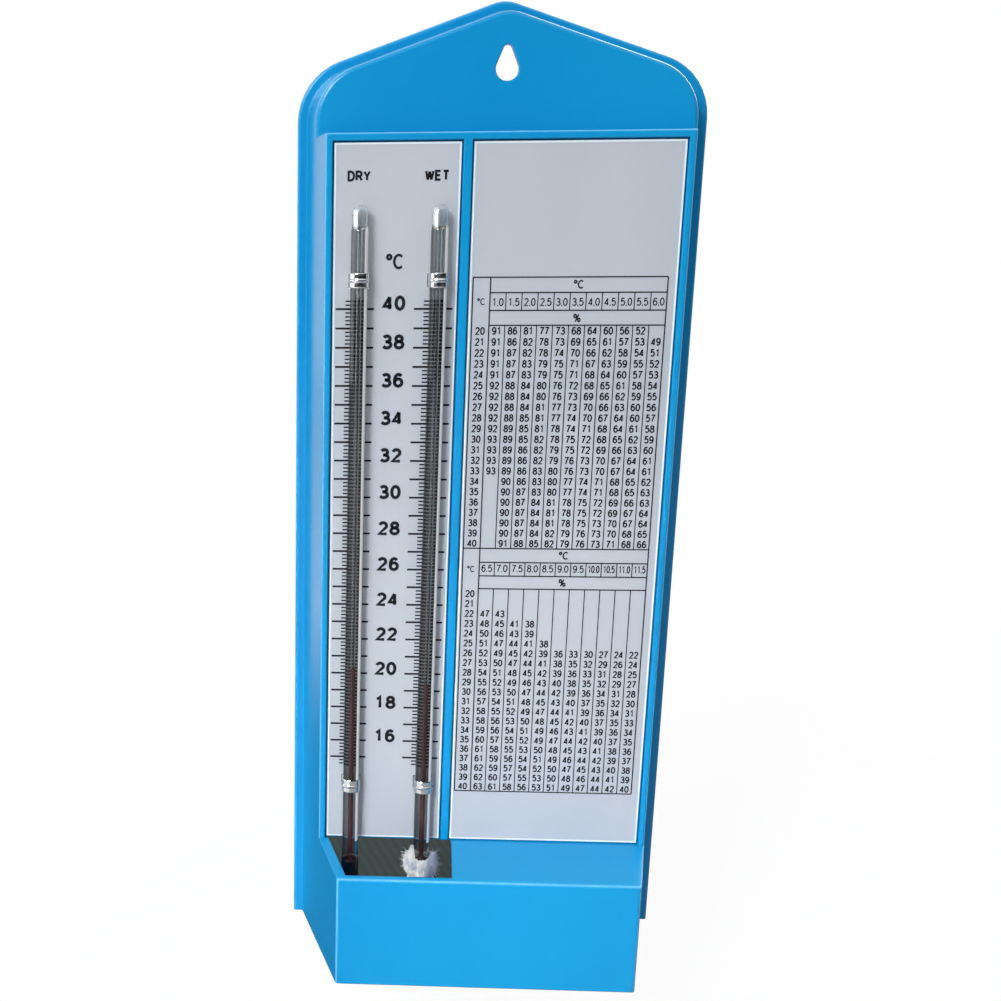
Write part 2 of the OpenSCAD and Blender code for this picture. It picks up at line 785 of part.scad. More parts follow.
module feeder_clip_screws() {
    color([0.75, 0.76, 0.78])
    for (x = clip_x)
        translate([x, axis_y, boss_z - clip_t]) difference() {
            union() {
                cylinder(r = screw_r, h = screw_len);
                translate([0, 0, -head_h]) cylinder(r1 = head_r * 0.85, r2 = head_r, h = head_h);
            }
            translate([-head_r, -driver_w / 2, -head_h - past])
                cube([2 * head_r, driver_w, head_h / 2 + past]);
        }
}

case();
scale_plate();
table_plate();
dry_tube();
wet_tube();
dry_reservoir();
wet_reservoir();
dry_column();
wet_column();
dry_meniscus();
wet_meniscus();
dry_strap_upper();
dry_strap_lower();
wet_strap_upper();
wet_strap_lower();
wick();
wick_tie_upper();
wick_tie_lower();
feeder_tube();
feeder_water();
feeder_clip_left();
feeder_clip_right();
feeder_clip_screws();
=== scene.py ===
# %% [markdown]
# # A wet and dry bulb hygrometer in Blender
# This lesson dresses a finished CAD model. The CAD solids give every size, and the cells below
# add what the eye wants: moulded plastic, printed plates, real glass, dyed liquid, bright metal
# and frayed cotton. All lengths are in metres, X runs to the right, Y towards the wall, Z up.

import math

import bpy
import numpy as np
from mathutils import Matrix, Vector


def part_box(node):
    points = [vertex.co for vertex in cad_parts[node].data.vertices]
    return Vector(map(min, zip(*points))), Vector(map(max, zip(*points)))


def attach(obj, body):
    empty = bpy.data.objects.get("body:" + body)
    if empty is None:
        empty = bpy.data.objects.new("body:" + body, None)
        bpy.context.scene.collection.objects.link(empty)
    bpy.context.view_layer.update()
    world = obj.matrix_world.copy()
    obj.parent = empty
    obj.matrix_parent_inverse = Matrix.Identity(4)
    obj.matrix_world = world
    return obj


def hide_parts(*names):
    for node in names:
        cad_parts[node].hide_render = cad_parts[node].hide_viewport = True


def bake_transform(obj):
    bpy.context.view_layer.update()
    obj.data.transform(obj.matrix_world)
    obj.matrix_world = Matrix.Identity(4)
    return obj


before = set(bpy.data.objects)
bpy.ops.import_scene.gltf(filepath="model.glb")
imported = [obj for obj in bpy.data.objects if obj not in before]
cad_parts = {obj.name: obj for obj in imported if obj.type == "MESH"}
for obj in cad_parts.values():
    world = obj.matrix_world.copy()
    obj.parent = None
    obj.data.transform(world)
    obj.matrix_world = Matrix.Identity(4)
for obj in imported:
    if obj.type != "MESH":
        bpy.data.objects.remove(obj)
scene = bpy.context.scene
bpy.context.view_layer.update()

# %% [markdown]
# The camera stands where the photograph was taken: a little to the left, about 0.4 m away, and
# high enough to look down into the well at the bottom. The photograph is a crop of a wider
# picture, which in Blender is a shift of the lens and not a turn of the camera.

# %% Camera
lens = bpy.data.cameras.new("camera")
lens.sensor_width = 36.0
lens.lens = 46.215
lens.shift_x = 0.2514
lens.shift_y = 0.1003
lens.clip_start = 0.01
camera = bpy.data.objects.new("camera", lens)
camera.location = (-0.04805, -0.38428, 0.21118)
camera.rotation_euler = [math.radians(a) for a in (76.075, 0.226, 3.760)]
scene.collection.objects.link(camera)
scene.camera = camera
scene.view_settings.view_transform = "Standard"
print("the camera stands", round(1000 * camera.location.length), "mm from the middle of the base")

# %% [markdown]
# Materials are graphs of nodes, and graphs of arithmetic are tiresome to read as nodes. Here one
# small class stands for the output of a node, so that a sum in Python adds a Math node. A second
# class stands for a whole graph, and its `node` method is the only place where nodes are made.
# A material is such a graph with a shader in it, and the world at the end is another.

# %% Sockets that can be added and multiplied
class Value:
    """A number on its way through a graph. Arithmetic on it adds Math nodes."""

    def __init__(self, graph, socket):
        self.graph = graph
        self.socket = socket

    def math(self, operation, a, b):
        return self.graph.node("ShaderNodeMath", {"operation": operation}, [a, b])

    def __add__(self, other):
        return self.math("ADD", self, other)

    def __radd__(self, other):
        return self.math("ADD", other, self)

    def __sub__(self, other):
        return self.math("SUBTRACT", self, other)

    def __rsub__(self, other):
        return self.math("SUBTRACT", other, self)

    def __mul__(self, other):
        return self.math("MULTIPLY", self, other)

    def __rmul__(self, other):
        return self.math("MULTIPLY", other, self)


# %% One graph and its nodes
class Graph:
    """The nodes of a material or of the world."""

    def __init__(self, tree):
        self.tree = tree

    def put(self, socket, value):
        """Links a Value to a socket, or sets the socket's own number or colour."""
        if isinstance(value, Value):
            self.tree.links.new(value.socket, socket)
        else:
            socket.default_value = value

    def node(self, kind, settings, inputs, output=0):
        """Adds a node: first its settings, then what its sockets hold. Returns an output."""
        made = self.tree.nodes.new(kind)
        for name, value in settings.items():
            if name == "stops":
                ramp = made.color_ramp
                while len(ramp.elements) < len(value):
                    ramp.elements.new(0.5)
                for element, (place, colour) in zip(ramp.elements, value):
                    element.position = place
                    element.color = (*colour, 1.0)
            else:
                setattr(made, name, value)
        named = inputs.items() if isinstance(inputs, dict) else enumerate(inputs)
        for name, value in named:
            self.put(made.inputs[name], value)
        return Value(self, made.outputs[output])

    def place(self, kind="Object"):
        """Where a point of the surface is in its object's own frame, or another fact of it."""
        return self.node("ShaderNodeTexCoord", {}, {}, kind)

    def parts(self, where):
        """X, Y and Z of a place, each as a number."""
        split = self.node("ShaderNodeSeparateXYZ", {}, [where])
        return [Value(self, output) for output in split.socket.node.outputs]

    def ray(self, kind):
        """1 where the ray is of one kind, such as Is Camera Ray, and 0 elsewhere."""
        return self.node("ShaderNodeLightPath", {}, {}, kind)

    def range(self, value, low, high, to_low, to_high):
        """A number carried from one range to another and held at its ends."""
        return self.node("ShaderNodeMapRange", {}, [value, low, high, to_low, to_high])

    def blend(self, factor, first, second):
        """One colour turning into another as the factor goes from 0 to 1."""
        sockets = {0: factor, 6: first, 7: second}
        return self.node("ShaderNodeMix", {"data_type": "RGBA"}, sockets, 2)


def abs_of(value):
    """The size of a number without its sign."""
    return value.math("ABSOLUTE", value, 0.0)


def largest(result, *others):
    """The largest of several numbers."""
    for other in others:
        result = result.math("MAXIMUM", result, other)
    return result


# %% One material
class Finish(Graph):
    """A material that is built from expressions. `shader` is its Principled node."""

    def __init__(self, name, **sockets):
        self.material = bpy.data.materials.new(name)
        self.material.use_nodes = True
        super().__init__(self.material.node_tree)
        self.shader = self.tree.nodes["Principled BSDF"]
        self.set(**sockets)

    def set(self, **sockets):
        """Sets or links sockets of the Principled node."""
        for socket, value in sockets.items():
            self.put(self.shader.inputs[socket.replace("_", " ")], value)

    def scaled(self, factors):
        """The place, stretched along X, Y and Z."""
        return self.node("ShaderNodeMapping", {}, {"Vector": self.place(), "Scale": factors})

    def noise(self, where, scale, detail=2.0, roughness=0.5):
        """Soft noise from 0 to 1, with `scale` waves in a metre."""
        sockets = {"Vector": where, "Scale": scale, "Detail": detail, "Roughness": roughness}
        return self.node("ShaderNodeTexNoise", {}, sockets)

    def ramp(self, factor, stops):
        """A number turned into a colour by the stops of a ramp."""
        return self.node("ShaderNodeValToRGB", {"stops": stops}, {"Fac": factor})

    def bump(self, height, depth, strength=1.0, normal=None):
        """A normal from a height between 0 and 1, `depth` metres deep."""
        sockets = {"Height": height, "Distance": depth, "Strength": strength}
        if normal is not None:
            sockets["Normal"] = normal
        return self.node("ShaderNodeBump", {}, sockets)

    def mix_in(self, share, other):
        """Lets another shader take a share of the surface."""
        plain = Value(self, self.shader.outputs[0])
        mixed = self.node("ShaderNodeMixShader", {}, [share, plain, other])
        self.put(self.tree.nodes["Material Output"].inputs["Surface"], mixed)


# %% Colours, and finishes on CAD nodes
def rgb(red, green, blue):
    """A colour given in the 0 to 255 of a paint program, made linear for the renderer."""
    parts = np.array([red, green, blue]) / 255.0
    linear = np.where(parts <= 0.04045, parts / 12.92, ((parts + 0.055) / 1.055) ** 2.4)
    return tuple(float(x) for x in linear)


def wear(node, finish):
    """Gives a CAD node a finish in all its material slots."""
    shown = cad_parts[node]
    if not shown.data.materials:
        shown.data.materials.append(finish.material)
    for slot in shown.material_slots:
        slot.material = finish.material
    print(node, "wears", finish.material.name, "made of", len(finish.tree.nodes), "nodes")


print("a grey of 128 in 255 is", round(rgb(128, 128, 128)[0], 3), "to the renderer")


# %% [markdown]
# The case is one moulding in glossy blue plastic. Such a plastic is coloured right through, so
# there is no paint edge. What makes it look moulded is a soft sheen, a faint unevenness from the
# flow of the plastic, and edges that are never quite sharp. The small edges that the solid leaves
# square are softened by the Bevel node, which rounds the light and not the mesh.

# %% Blue plastic of the case
plastic = Finish("blue_plastic", IOR=1.5, Specular_IOR_Level=0.35)
flow = plastic.noise(plastic.scaled((14.0, 14.0, 5.0)), 1.0, 3.0)
shade = plastic.ramp(flow, [(0.3, rgb(7, 137, 196)), (0.75, rgb(15, 148, 205))])
scuff = plastic.noise(plastic.place(), 260.0, 6.0, 0.7)
skin = plastic.noise(plastic.place(), 900.0, 2.0)
edge_round = 0.0008
edges = plastic.node("ShaderNodeBevel", {"samples": 8}, {"Radius": edge_round})
print("the light on square edges is rounded by", 1000 * edge_round, "mm")

# %% [markdown]
# The rounded edges are painted paler than the faces: partly wear from hands and cloths, partly a
# painted highlight of the light that rounded edges catch. On a part that is nearly all upright
# and level faces, a rounded edge is wherever the normal is far from all three axes, and that is
# measured by the largest of its three parts.

# %% Paler edges: wear and painted highlight
facing = [abs_of(part) for part in plastic.parts(plastic.place("Normal"))]
squarely = largest(*facing)
# Edges painted pale: partly wear, partly a painted highlight of the light that rounded edges
# catch.
worn_and_highlit = plastic.range(squarely, 0.80, 0.92, 0.42, 0.0) * plastic.range(scuff, 0.3, 0.6, 0.7, 1.0)
plastic.set(
    Base_Color=plastic.blend(worn_and_highlit, shade, (*rgb(140, 208, 246), 1.0)),
    Roughness=plastic.range(scuff, 0.35, 0.75, 0.17, 0.27),
    Normal=plastic.bump(skin, 0.00001, 0.15, edges),
)
wear("case", plastic)

# %% [markdown]
# Both plates are sheet of a cool grey. A thin pale rim along the cut edge is a painted highlight
# of the light that the edge catches, found from how far a point is inside the outline.
# The print is a film of ink, made as flat shapes a few hundredths of a millimetre in front.

# %% Sheet of the plates, with a painted highlight round the edge
def printed_sheet(node):
    """The finish of one plate: a clouded grey inside a rim of painted highlight."""
    low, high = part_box(node)
    sheet = Finish(node + "_sheet", Roughness=0.42, IOR=1.46)
    x, y, z = sheet.parts(sheet.place())
    beyond_x = abs_of(x - (low.x + high.x) / 2) - (high.x - low.x) / 2
    beyond_z = abs_of(z - (low.z + high.z) / 2) - (high.z - low.z) / 2
    # The pale rim is a painted highlight along the plate's cut edge.
    rim = sheet.range(largest(beyond_x, beyond_z), -0.0006, -0.0004, 0.0, 1.0)
    cloud = sheet.noise(sheet.scaled((20.0, 20.0, 9.0)), 1.0, 3.0)
    coat = sheet.ramp(cloud, [(0.25, rgb(170, 178, 188)), (0.8, rgb(183, 189, 198))])
    grain = sheet.noise(sheet.place(), 1400.0, 2.0)
    sheet.set(
        Base_Color=sheet.blend(rim, coat, (*rgb(226, 238, 244), 1.0)),
        Normal=sheet.bump(grain, 0.00001, 0.3),
    )
    wear(node, sheet)


printed_sheet("scale_plate")
printed_sheet("table_plate")

# %% Ink
ink = Finish("black_ink", Roughness=0.6, Specular_IOR_Level=0.12)
blot = ink.noise(ink.place(), 2200.0, 2.0)
ink.set(Base_Color=ink.ramp(blot, [(0.25, rgb(18, 19, 25)), (0.85, rgb(36, 38, 46))]))
print("the darkest ink is", [round(part, 4) for part in rgb(18, 19, 25)])

# %% [markdown]
# A print of hundreds of signs is quickest as arrays. The signs on such an instrument are drawn
# with one even pen, so each sign is a few strokes, and a stroke is a row of points in a box one
# unit tall. The pen's width comes last, which lets the same signs be fine or bold.

# %% Strokes
def oval(x, z, wide, tall, start=90, end=450, count=13):
    """Points x + wide cos a, z + tall sin a, at angles in degrees, anticlockwise."""
    a = np.radians(np.linspace(start, end, count))
    return np.stack([x + wide * np.cos(a), z + tall * np.sin(a)], 1)


def stroke(*parts):
    """Points and pieces of curve joined into one row of points."""
    return np.concatenate([np.atleast_2d(part) for part in parts])


# %% Signs made of strokes
signs = {
    "0": (0.58, [oval(0.29, 0.5, 0.29, 0.5, count=17)]),
    "1": (0.58, [stroke((0.10, 0.76), (0.34, 1.0), (0.34, 0.0))]),
    "2": (0.58, [stroke(oval(0.29, 0.72, 0.27, 0.28, 165, -30, 9), (0.0, 0.0), (0.58, 0.0))]),
    "3": (0.58, [
        stroke(oval(0.27, 0.76, 0.25, 0.24, 155, -90, 8), (0.16, 0.52)),
        stroke((0.16, 0.52), oval(0.28, 0.26, 0.30, 0.26, 90, -155, 9)),
    ]),
    "4": (0.58, [
        stroke((0.58, 0.24), (0.0, 0.24), (0.42, 1.0)),
        stroke((0.42, 1.0), (0.42, 0.0)),
    ]),
    "5": (0.58, [
        stroke((0.53, 1.0), (0.11, 1.0), (0.05, 0.46)),
        oval(0.28, 0.33, 0.30, 0.33, 142, -150, 11),
    ]),
    "6": (0.58, [
        oval(0.30, 0.31, 0.28, 0.31),
        stroke(oval(0.32, 0.5, 0.30, 0.5, 45, 180, 8), (0.02, 0.31)),
    ]),
    "7": (0.58, [stroke((0.0, 1.0), (0.56, 1.0), (0.32, 0.55), (0.18, 0.0))]),
    "8": (0.58, [oval(0.29, 0.77, 0.24, 0.23, count=11), oval(0.29, 0.27, 0.29, 0.27)]),
    "9": (0.58, [
        oval(0.28, 0.69, 0.28, 0.31),
        stroke(oval(0.26, 0.5, 0.30, 0.5, 225, 360, 8), (0.56, 0.69)),
    ]),
    ".": (0.12, [stroke((0.06, -0.07), (0.06, 0.09))]),
    "°": (0.32, [oval(0.16, 0.84, 0.16, 0.17, count=9)]),
    "%": (0.90, [
        oval(0.18, 0.76, 0.16, 0.23, count=9),
        oval(0.72, 0.24, 0.16, 0.23, count=9),
        stroke((0.66, 1.02), (0.24, -0.02)),
    ]),
    "C": (0.66, [oval(0.36, 0.5, 0.36, 0.5, 45, 315)]),
    "D": (0.64, [stroke((0, 0), (0, 1), oval(0.26, 0.5, 0.38, 0.5, 90, -90, 10), (0, 0))]),
    "R": (0.62, [
        stroke((0, 0), (0, 1), oval(0.34, 0.74, 0.25, 0.26, 90, -90, 7), (0, 0.48)),
        stroke((0.32, 0.48), (0.62, 0)),
    ]),
    "Y": (0.64, [stroke((0, 1), (0.32, 0.46), (0.64, 1)), stroke((0.32, 0.48), (0.32, 0))]),
    "W": (0.88, [
        stroke((0, 1), (0.22, 0)), stroke((0.22, 0), (0.44, 0.95)),
        stroke((0.44, 0.95), (0.66, 0)), stroke((0.66, 0), (0.88, 1)),
    ]),
    "E": (0.56, [
        stroke((0.54, 1), (0, 1), (0, 0), (0.56, 0)),
        stroke((0, 0.52), (0.48, 0.52)),
    ]),
    "T": (0.64, [stroke((0, 1), (0.64, 1)), stroke((0.32, 1), (0.32, 0))]),
}


# %% Pen
def pen(path, thick):
    """Two corners at each point, half the pen's width away on the bisector, and quads between."""
    step = np.diff(path, axis=0)
    step /= np.linalg.norm(step, axis=1, keepdims=True)
    side = np.stack([-step[:, 1], step[:, 0]], 1)
    closed = np.allclose(path[0], path[-1])
    before = np.concatenate([side[-1:] if closed else side[:1], side])
    after = np.concatenate([side, side[:1] if closed else side[-1:]])
    bisector = before + after
    bisector /= np.linalg.norm(bisector, axis=1, keepdims=True)
    reach = thick / 2 / np.maximum((bisector * before).sum(1, keepdims=True), 0.6)
    corners = np.concatenate([path + bisector * reach, path - bisector * reach])
    here = np.arange(len(path) - 1)
    far = here + len(path)
    return corners, np.stack([here, far, far + 1, here + 1], 1)


most = max(sum(len(line) - 1 for line in lines) for _, lines in signs.values())
print("signs:", " ".join(signs), "with at most", most, "faces")

# %% Everything printed on one plate
ink_film = 0.00004
ink_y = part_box("scale_plate")[0].y - ink_film
print("ink stands", 1000 * ink_film, "mm in front of the plates")


class Print:
    """Collects the shapes printed on one plate, in X and Z."""

    def __init__(self):
        self.corners = []
        self.faces = []
        self.count = 0

    def add(self, flat, faces):
        self.corners.append(flat)
        self.faces.append(faces + self.count)
        self.count += len(flat)

    def write(self, text, x, z, height, thick, stretch=1.0):
        """Stamps a word centred on x and standing on z, drawn with a pen of that width."""
        tall = height - thick
        gap = (thick + 0.03 * height) / tall
        start = -(sum(signs[sign][0] for sign in text) + gap * (len(text) - 1)) / 2
        for sign in text:
            width, lines = signs[sign]
            for line in lines:
                path = (line + [start, 0.0]) * [tall * stretch, tall] + [x, z + thick / 2]
                self.add(*pen(path, thick))
            start += width + gap

    def bar(self, x0, x1, z0, z1):
        """A rectangle between two corners."""
        flat = np.array([[x0, z0], [x1, z0], [x1, z1], [x0, z1]])
        self.add(flat, np.array([[0, 1, 2, 3]]))

    def rule(self, x0, x1, z, thick):
        """A level line."""
        self.bar(x0, x1, z - thick / 2, z + thick / 2)

    def post(self, x, z0, z1, thick):
        """An upright line."""
        self.bar(x - thick / 2, x + thick / 2, z0, z1)

    def finish(self, name, material, body):
        """Makes the mesh, facing the reader, and lets it ride on a body."""
        flat = np.concatenate(self.corners)
        faces = np.concatenate(self.faces)
        corners = np.stack([flat[:, 0], np.full(len(flat), ink_y), flat[:, 1]], 1)
        mesh = bpy.data.meshes.new(name)
        mesh.from_pydata(corners.tolist(), [], faces.tolist())
        mesh.materials.append(material)
        made = bpy.data.objects.new(name, mesh)
        scene.collection.objects.link(made)
        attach(made, body)
        print(name, "has", len(faces), "faces")


# %% [markdown]
# The scales run from 15 to 40 degrees with a short tick every fifth of a degree. The ticks pass
# behind the stems, where the real glass spreads them into the dark ladder that one reads
# against. A stronger pen draws that hidden part of each tick.

# %% Temperature scales
mark_low, mark_z, degree = 15.0, 0.0655, 0.00552
dry_x = (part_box("dry_tube")[0].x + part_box("dry_tube")[1].x) / 2
wet_x = (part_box("wet_tube")[0].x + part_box("wet_tube")[1].x) / 2
stem_y = (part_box("dry_tube")[0].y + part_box("dry_tube")[1].y) / 2


def height_of(reading):
    """Height on the scale of a reading in degrees."""
    return mark_z + (reading - mark_low) * degree


number_x, number_tall, word_z, word_tall = -0.0312, 0.0044, 0.2388, 0.0030
short_pen, hidden_pen, long_pen = 0.00044, 0.00074, 0.00060
number_pen, unit_pen, word_pen = 0.00098, 0.00074, 0.00066
scales = Print()
for stem in (dry_x, wet_x):
    for fifth in range(-2, 128):
        z = height_of(mark_low + fifth / 5)
        scales.rule(stem - 0.0038, stem - 0.0018, z, short_pen)
        scales.rule(stem - 0.0018, stem + 0.0026, z, hidden_pen)
    for reading in range(15, 41):
        scales.rule(stem - 0.0066, stem + 0.0045, height_of(reading), long_pen)
for reading in range(16, 41, 2):
    z = height_of(reading) - 0.00055
    scales.write(str(reading), number_x, z, number_tall, number_pen, 1.12)
scales.write("°C", number_x, 0.2146, number_tall, unit_pen)
scales.write("DRY", dry_x - 0.0004, word_z, word_tall, word_pen)
scales.write("WET", wet_x - 0.0010, word_z, word_tall, word_pen)
scales.finish("scale_print", ink.material, "case")

# %% [markdown]
# The table turns the difference between the two readings into relative humidity. Nothing is
# copied: the numbers come from the psychrometer's own law. The vapour pressure over water is
# 6.112 * exp(17.62 t / (243.12 + t)) hPa, and the air holds what the wet bulb's pressure leaves
# after A * p * (difference) has gone into evaporation.

# %% Relative humidity from the two readings
def over_water(t):
    """Pressure in hPa of water vapour over water at t degrees."""
    return 6.112 * math.exp(17.62 * t / (243.12 + t))


def humidity(dry, difference):
    """Relative humidity in percent at normal air pressure and a gentle draught."""
    wet = dry - difference
    pressure = over_water(wet) - 0.00079 * 1013.0 * difference
    return round(100.0 * pressure / over_water(dry))


print("at 20 degrees:", [humidity(20, 1 + k / 2) for k in range(9)])

# %% Humidity tables
left, first_x, pitch_x, right = -0.0087, -0.0037, 0.00455, 0.0463
ruling, hair_pen, table_pen = 0.00038, 0.00034, 0.00042
digit_tall, rows, first_dry = 0.0023, 21, 20
tables = Print()


def humidity_table(levels, first_difference, shown):
    """Header lines, columns and 21 rows of one table, between five levels from the top down."""
    top, head, heads, body, low = levels
    for z in (top, low):
        tables.rule(left, right, z, ruling)
    for z in (head, heads, body):
        tables.rule(first_x, right, z, ruling)
    for x in (left, first_x, right):
        tables.post(x, low, top, ruling)
    side_x = (left + first_x) / 2
    middle_x = (first_x + right) / 2
    tables.write("°C", side_x, (head + heads) / 2 - 0.001, 0.0020, 0.00030)
    tables.write("°C", middle_x, head + 0.0010, 0.0025, table_pen)
    tables.write("%", middle_x, body + 0.0008, 0.0025, table_pen)
    foot = body - (body - low) / rows * (np.arange(rows) + 0.87)
    for k in range(11):
        x = first_x + pitch_x * (k + 0.5)
        difference = first_difference + k / 2
        stretch = 0.9 if difference < 10 else 0.66
        tables.write(f"{difference:.1f}", x, heads + 0.0012, digit_tall, hair_pen, stretch)
        if k < 10:
            tables.post(x + pitch_x / 2, low, body, ruling * 0.8)
            tables.post(x + pitch_x / 2, heads, head, ruling * 0.8)
        for row in range(rows):
            dry = first_dry + row
            if shown(dry, difference):
                percent = str(humidity(dry, difference))
                tables.write(percent, x, foot[row], digit_tall, table_pen, 0.9)
    for row in range(rows):
        tables.write(str(first_dry + row), side_x, foot[row], digit_tall, table_pen, 0.9)


def upper_shown(dry, difference):
    """Where the upper table is filled in: not for a very cold wet bulb or hot damp air."""
    return dry - difference >= 14.5 and not (difference < 1.25 and dry > 33)


def lower_shown(dry, difference):
    """Where the lower table is filled in: from 26 degrees, or where the air is damp enough."""
    wet_enough = dry - difference >= 15.0 and humidity(dry, difference) >= 38
    return dry >= 26 or wet_enough


humidity_table((0.2123, 0.2080, 0.2030, 0.1988, 0.1330), 1.0, upper_shown)
humidity_table((0.1330, 0.1287, 0.1245, 0.1205, 0.0548), 6.5, lower_shown)
tables.finish("table_print", ink.material, "case")

# %% [markdown]
# Everything round on this instrument is a lathe shape: a profile of radius and height carried
# round an upright axis. The function below returns the corners and faces of such a shape. Where
# the profile touches the axis it closes the pole with one corner and a fan of triangles.

# %% Lathe
turned_over = [0, 3, 2, 1]


def ring_faces(rings):
    """Four corners for each face between one ring of corner numbers and the next.

    Rings that run anticlockwise, seen from the last one, give faces that point outwards. For
    others, `turned_over` takes the corners of each face in the opposite order.
    """
    step = np.roll(rings, -1, -1)
    return np.stack([rings[:-1], step[:-1], step[1:], rings[1:]], -1).reshape(-1, 4)


def fan(ring, pole):
    """A triangle from each side of a ring of corner numbers to the corner at the pole."""
    return np.stack([ring, np.roll(ring, -1), np.full(len(ring), pole)], 1)


def lathe(profile, x, y, around=96):
    """Corners (r cos a, r sin a, z) for each profile point and angle, with closed poles.

    A profile that runs upwards faces away from the axis, one that runs down faces the axis.
    """
    profile = np.asarray(profile, float)
    angle = np.linspace(0.0, 2 * np.pi, around, endpoint=False)
    low_pole = profile[0, 0] < 1e-7
    high_pole = profile[-1, 0] < 1e-7
    rings = profile[1 if low_pole else 0 : len(profile) - 1 if high_pole else len(profile)]
    r = rings[:, :1]
    z = rings[:, 1:]
    grid = np.stack([x + r * np.cos(angle), y + r * np.sin(angle), z + 0 * angle], 2)
    corners = [grid.reshape(-1, 3)]
    here = np.arange(len(rings) * around).reshape(len(rings), around)
    quads = ring_faces(here)
    fans = []
    count = here.size
    if low_pole:
        corners.append([[x, y, profile[0, 1]]])
        fans.append(fan(here[0], count)[:, ::-1])
        count += 1
    if high_pole:
        corners.append([[x, y, profile[-1, 1]]])
        fans.append(fan(here[-1], count))
    return np.concatenate(corners), [quads] + fans


# %% Parts of a profile
def smooth_step(t):
    """3 t squared minus 2 t cubed, held at 0 and 1."""
    t = np.clip(t, 0.0, 1.0)
    return t * t * (3 - 2 * t)


def arc(r_centre, z_centre, radius, start, end, count):
    """Profile points on an arc, with angles in degrees from the outward direction."""
    a = np.radians(np.linspace(start, end, count))
    return np.stack([r_centre + radius * np.cos(a), z_centre + radius * np.sin(a)], 1)


def slope(r0, z0, r1, z1, count):
    """Profile points that pass from one radius to another in a smooth S."""
    t = np.linspace(0.0, 1.0, count)
    return np.stack([r0 + (r1 - r0) * smooth_step(t), z0 + (z1 - z0) * t], 1)


# %% From arrays to a piece
def mesh_piece(name, shapes, material, body, replaced=(), sharp=40.0):
    """Joins shapes (corners, face arrays) into one mesh piece that rides on a body, unless body
    is a tuple.
    """
    corners = []
    faces = []
    count = 0
    for points, groups in shapes:
        corners.append(points)
        for group in groups:
            faces.extend((group + count).tolist())
        count += len(points)
    mesh = bpy.data.meshes.new(name)
    mesh.from_pydata(np.concatenate(corners).tolist(), [], faces)
    mesh.materials.append(material)
    mesh.shade_smooth()
    mesh.set_sharp_from_angle(angle=math.radians(sharp))
    made = bpy.data.objects.new(name, mesh)
    scene.collection.objects.link(made)
    if isinstance(body, tuple):
        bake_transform(made)
    elif body:
        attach(made, body)
    if replaced:
        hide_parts(*replaced)
    print(name, "has", len(faces), "faces")
    return made


# %% [markdown]
# A thermometer is one piece of glass: a thin bulb, a thick stem with a fine bore and a thin
# chamber at the top. Glass needs both of its surfaces, so the profile runs up the outside and
# then down the inside. The stem is a strong lens. It gathers the light on its right side and
# leaves the rest of the plate behind it dark, which a renderer without caustics doesn't do. So
# that shade is painted into the glass as a grey tint, deeper where ticks lie behind it and
# deepest at its left edge, and the gathered light is painted as a white strip at its right. The
# chamber stays clear, but for a painted highlight at its left.

# %% Sizes of the glass
stem_r = 0.0025
bore_r = 0.0005
bulb_r = 0.0028
wall = 0.0005
bulb_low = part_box("dry_tube")[0].z
bulb_top = bulb_low + 0.013
foot_z = bulb_top + 0.001
tip_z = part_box("dry_tube")[1].z
shoulder_z = tip_z - 0.0074
chamber_r = 0.00235
plate_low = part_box("scale_plate")[0].z
print("each thermometer is", round(1000 * (tip_z - bulb_low), 1), "mm long")


# %% Profile of the glass
def glass_profile():
    """Outside from the lowest point of the bulb to the tip, then the inside back down."""
    outside = [
        arc(0.0, bulb_low + bulb_r, bulb_r, -90, 0, 14),
        slope(bulb_r, bulb_top - 0.001, stem_r, foot_z, 9),
        np.stack([np.full(60, stem_r), np.linspace(foot_z + 0.001, shoulder_z - 0.001, 60)], 1),
        slope(stem_r, shoulder_z, chamber_r, shoulder_z + 0.001, 7),
        arc(0.0, tip_z - chamber_r, chamber_r, 0, 90, 14),
    ]
    inner = chamber_r - wall
    bulb_in = bulb_r - wall
    inside = [
        arc(0.0, tip_z - chamber_r, inner, 90, 0, 12),
        slope(inner, shoulder_z + 0.0015, bore_r, shoulder_z, 9),
        np.stack([np.full(40, bore_r), np.linspace(shoulder_z - 0.001, foot_z + 0.001, 40)], 1),
        slope(bore_r, foot_z, bulb_in, bulb_top - 0.0015, 9),
        arc(0.0, bulb_low + bulb_r, bulb_in, 0, -90, 12),
    ]
    return np.concatenate(outside), np.concatenate(inside)


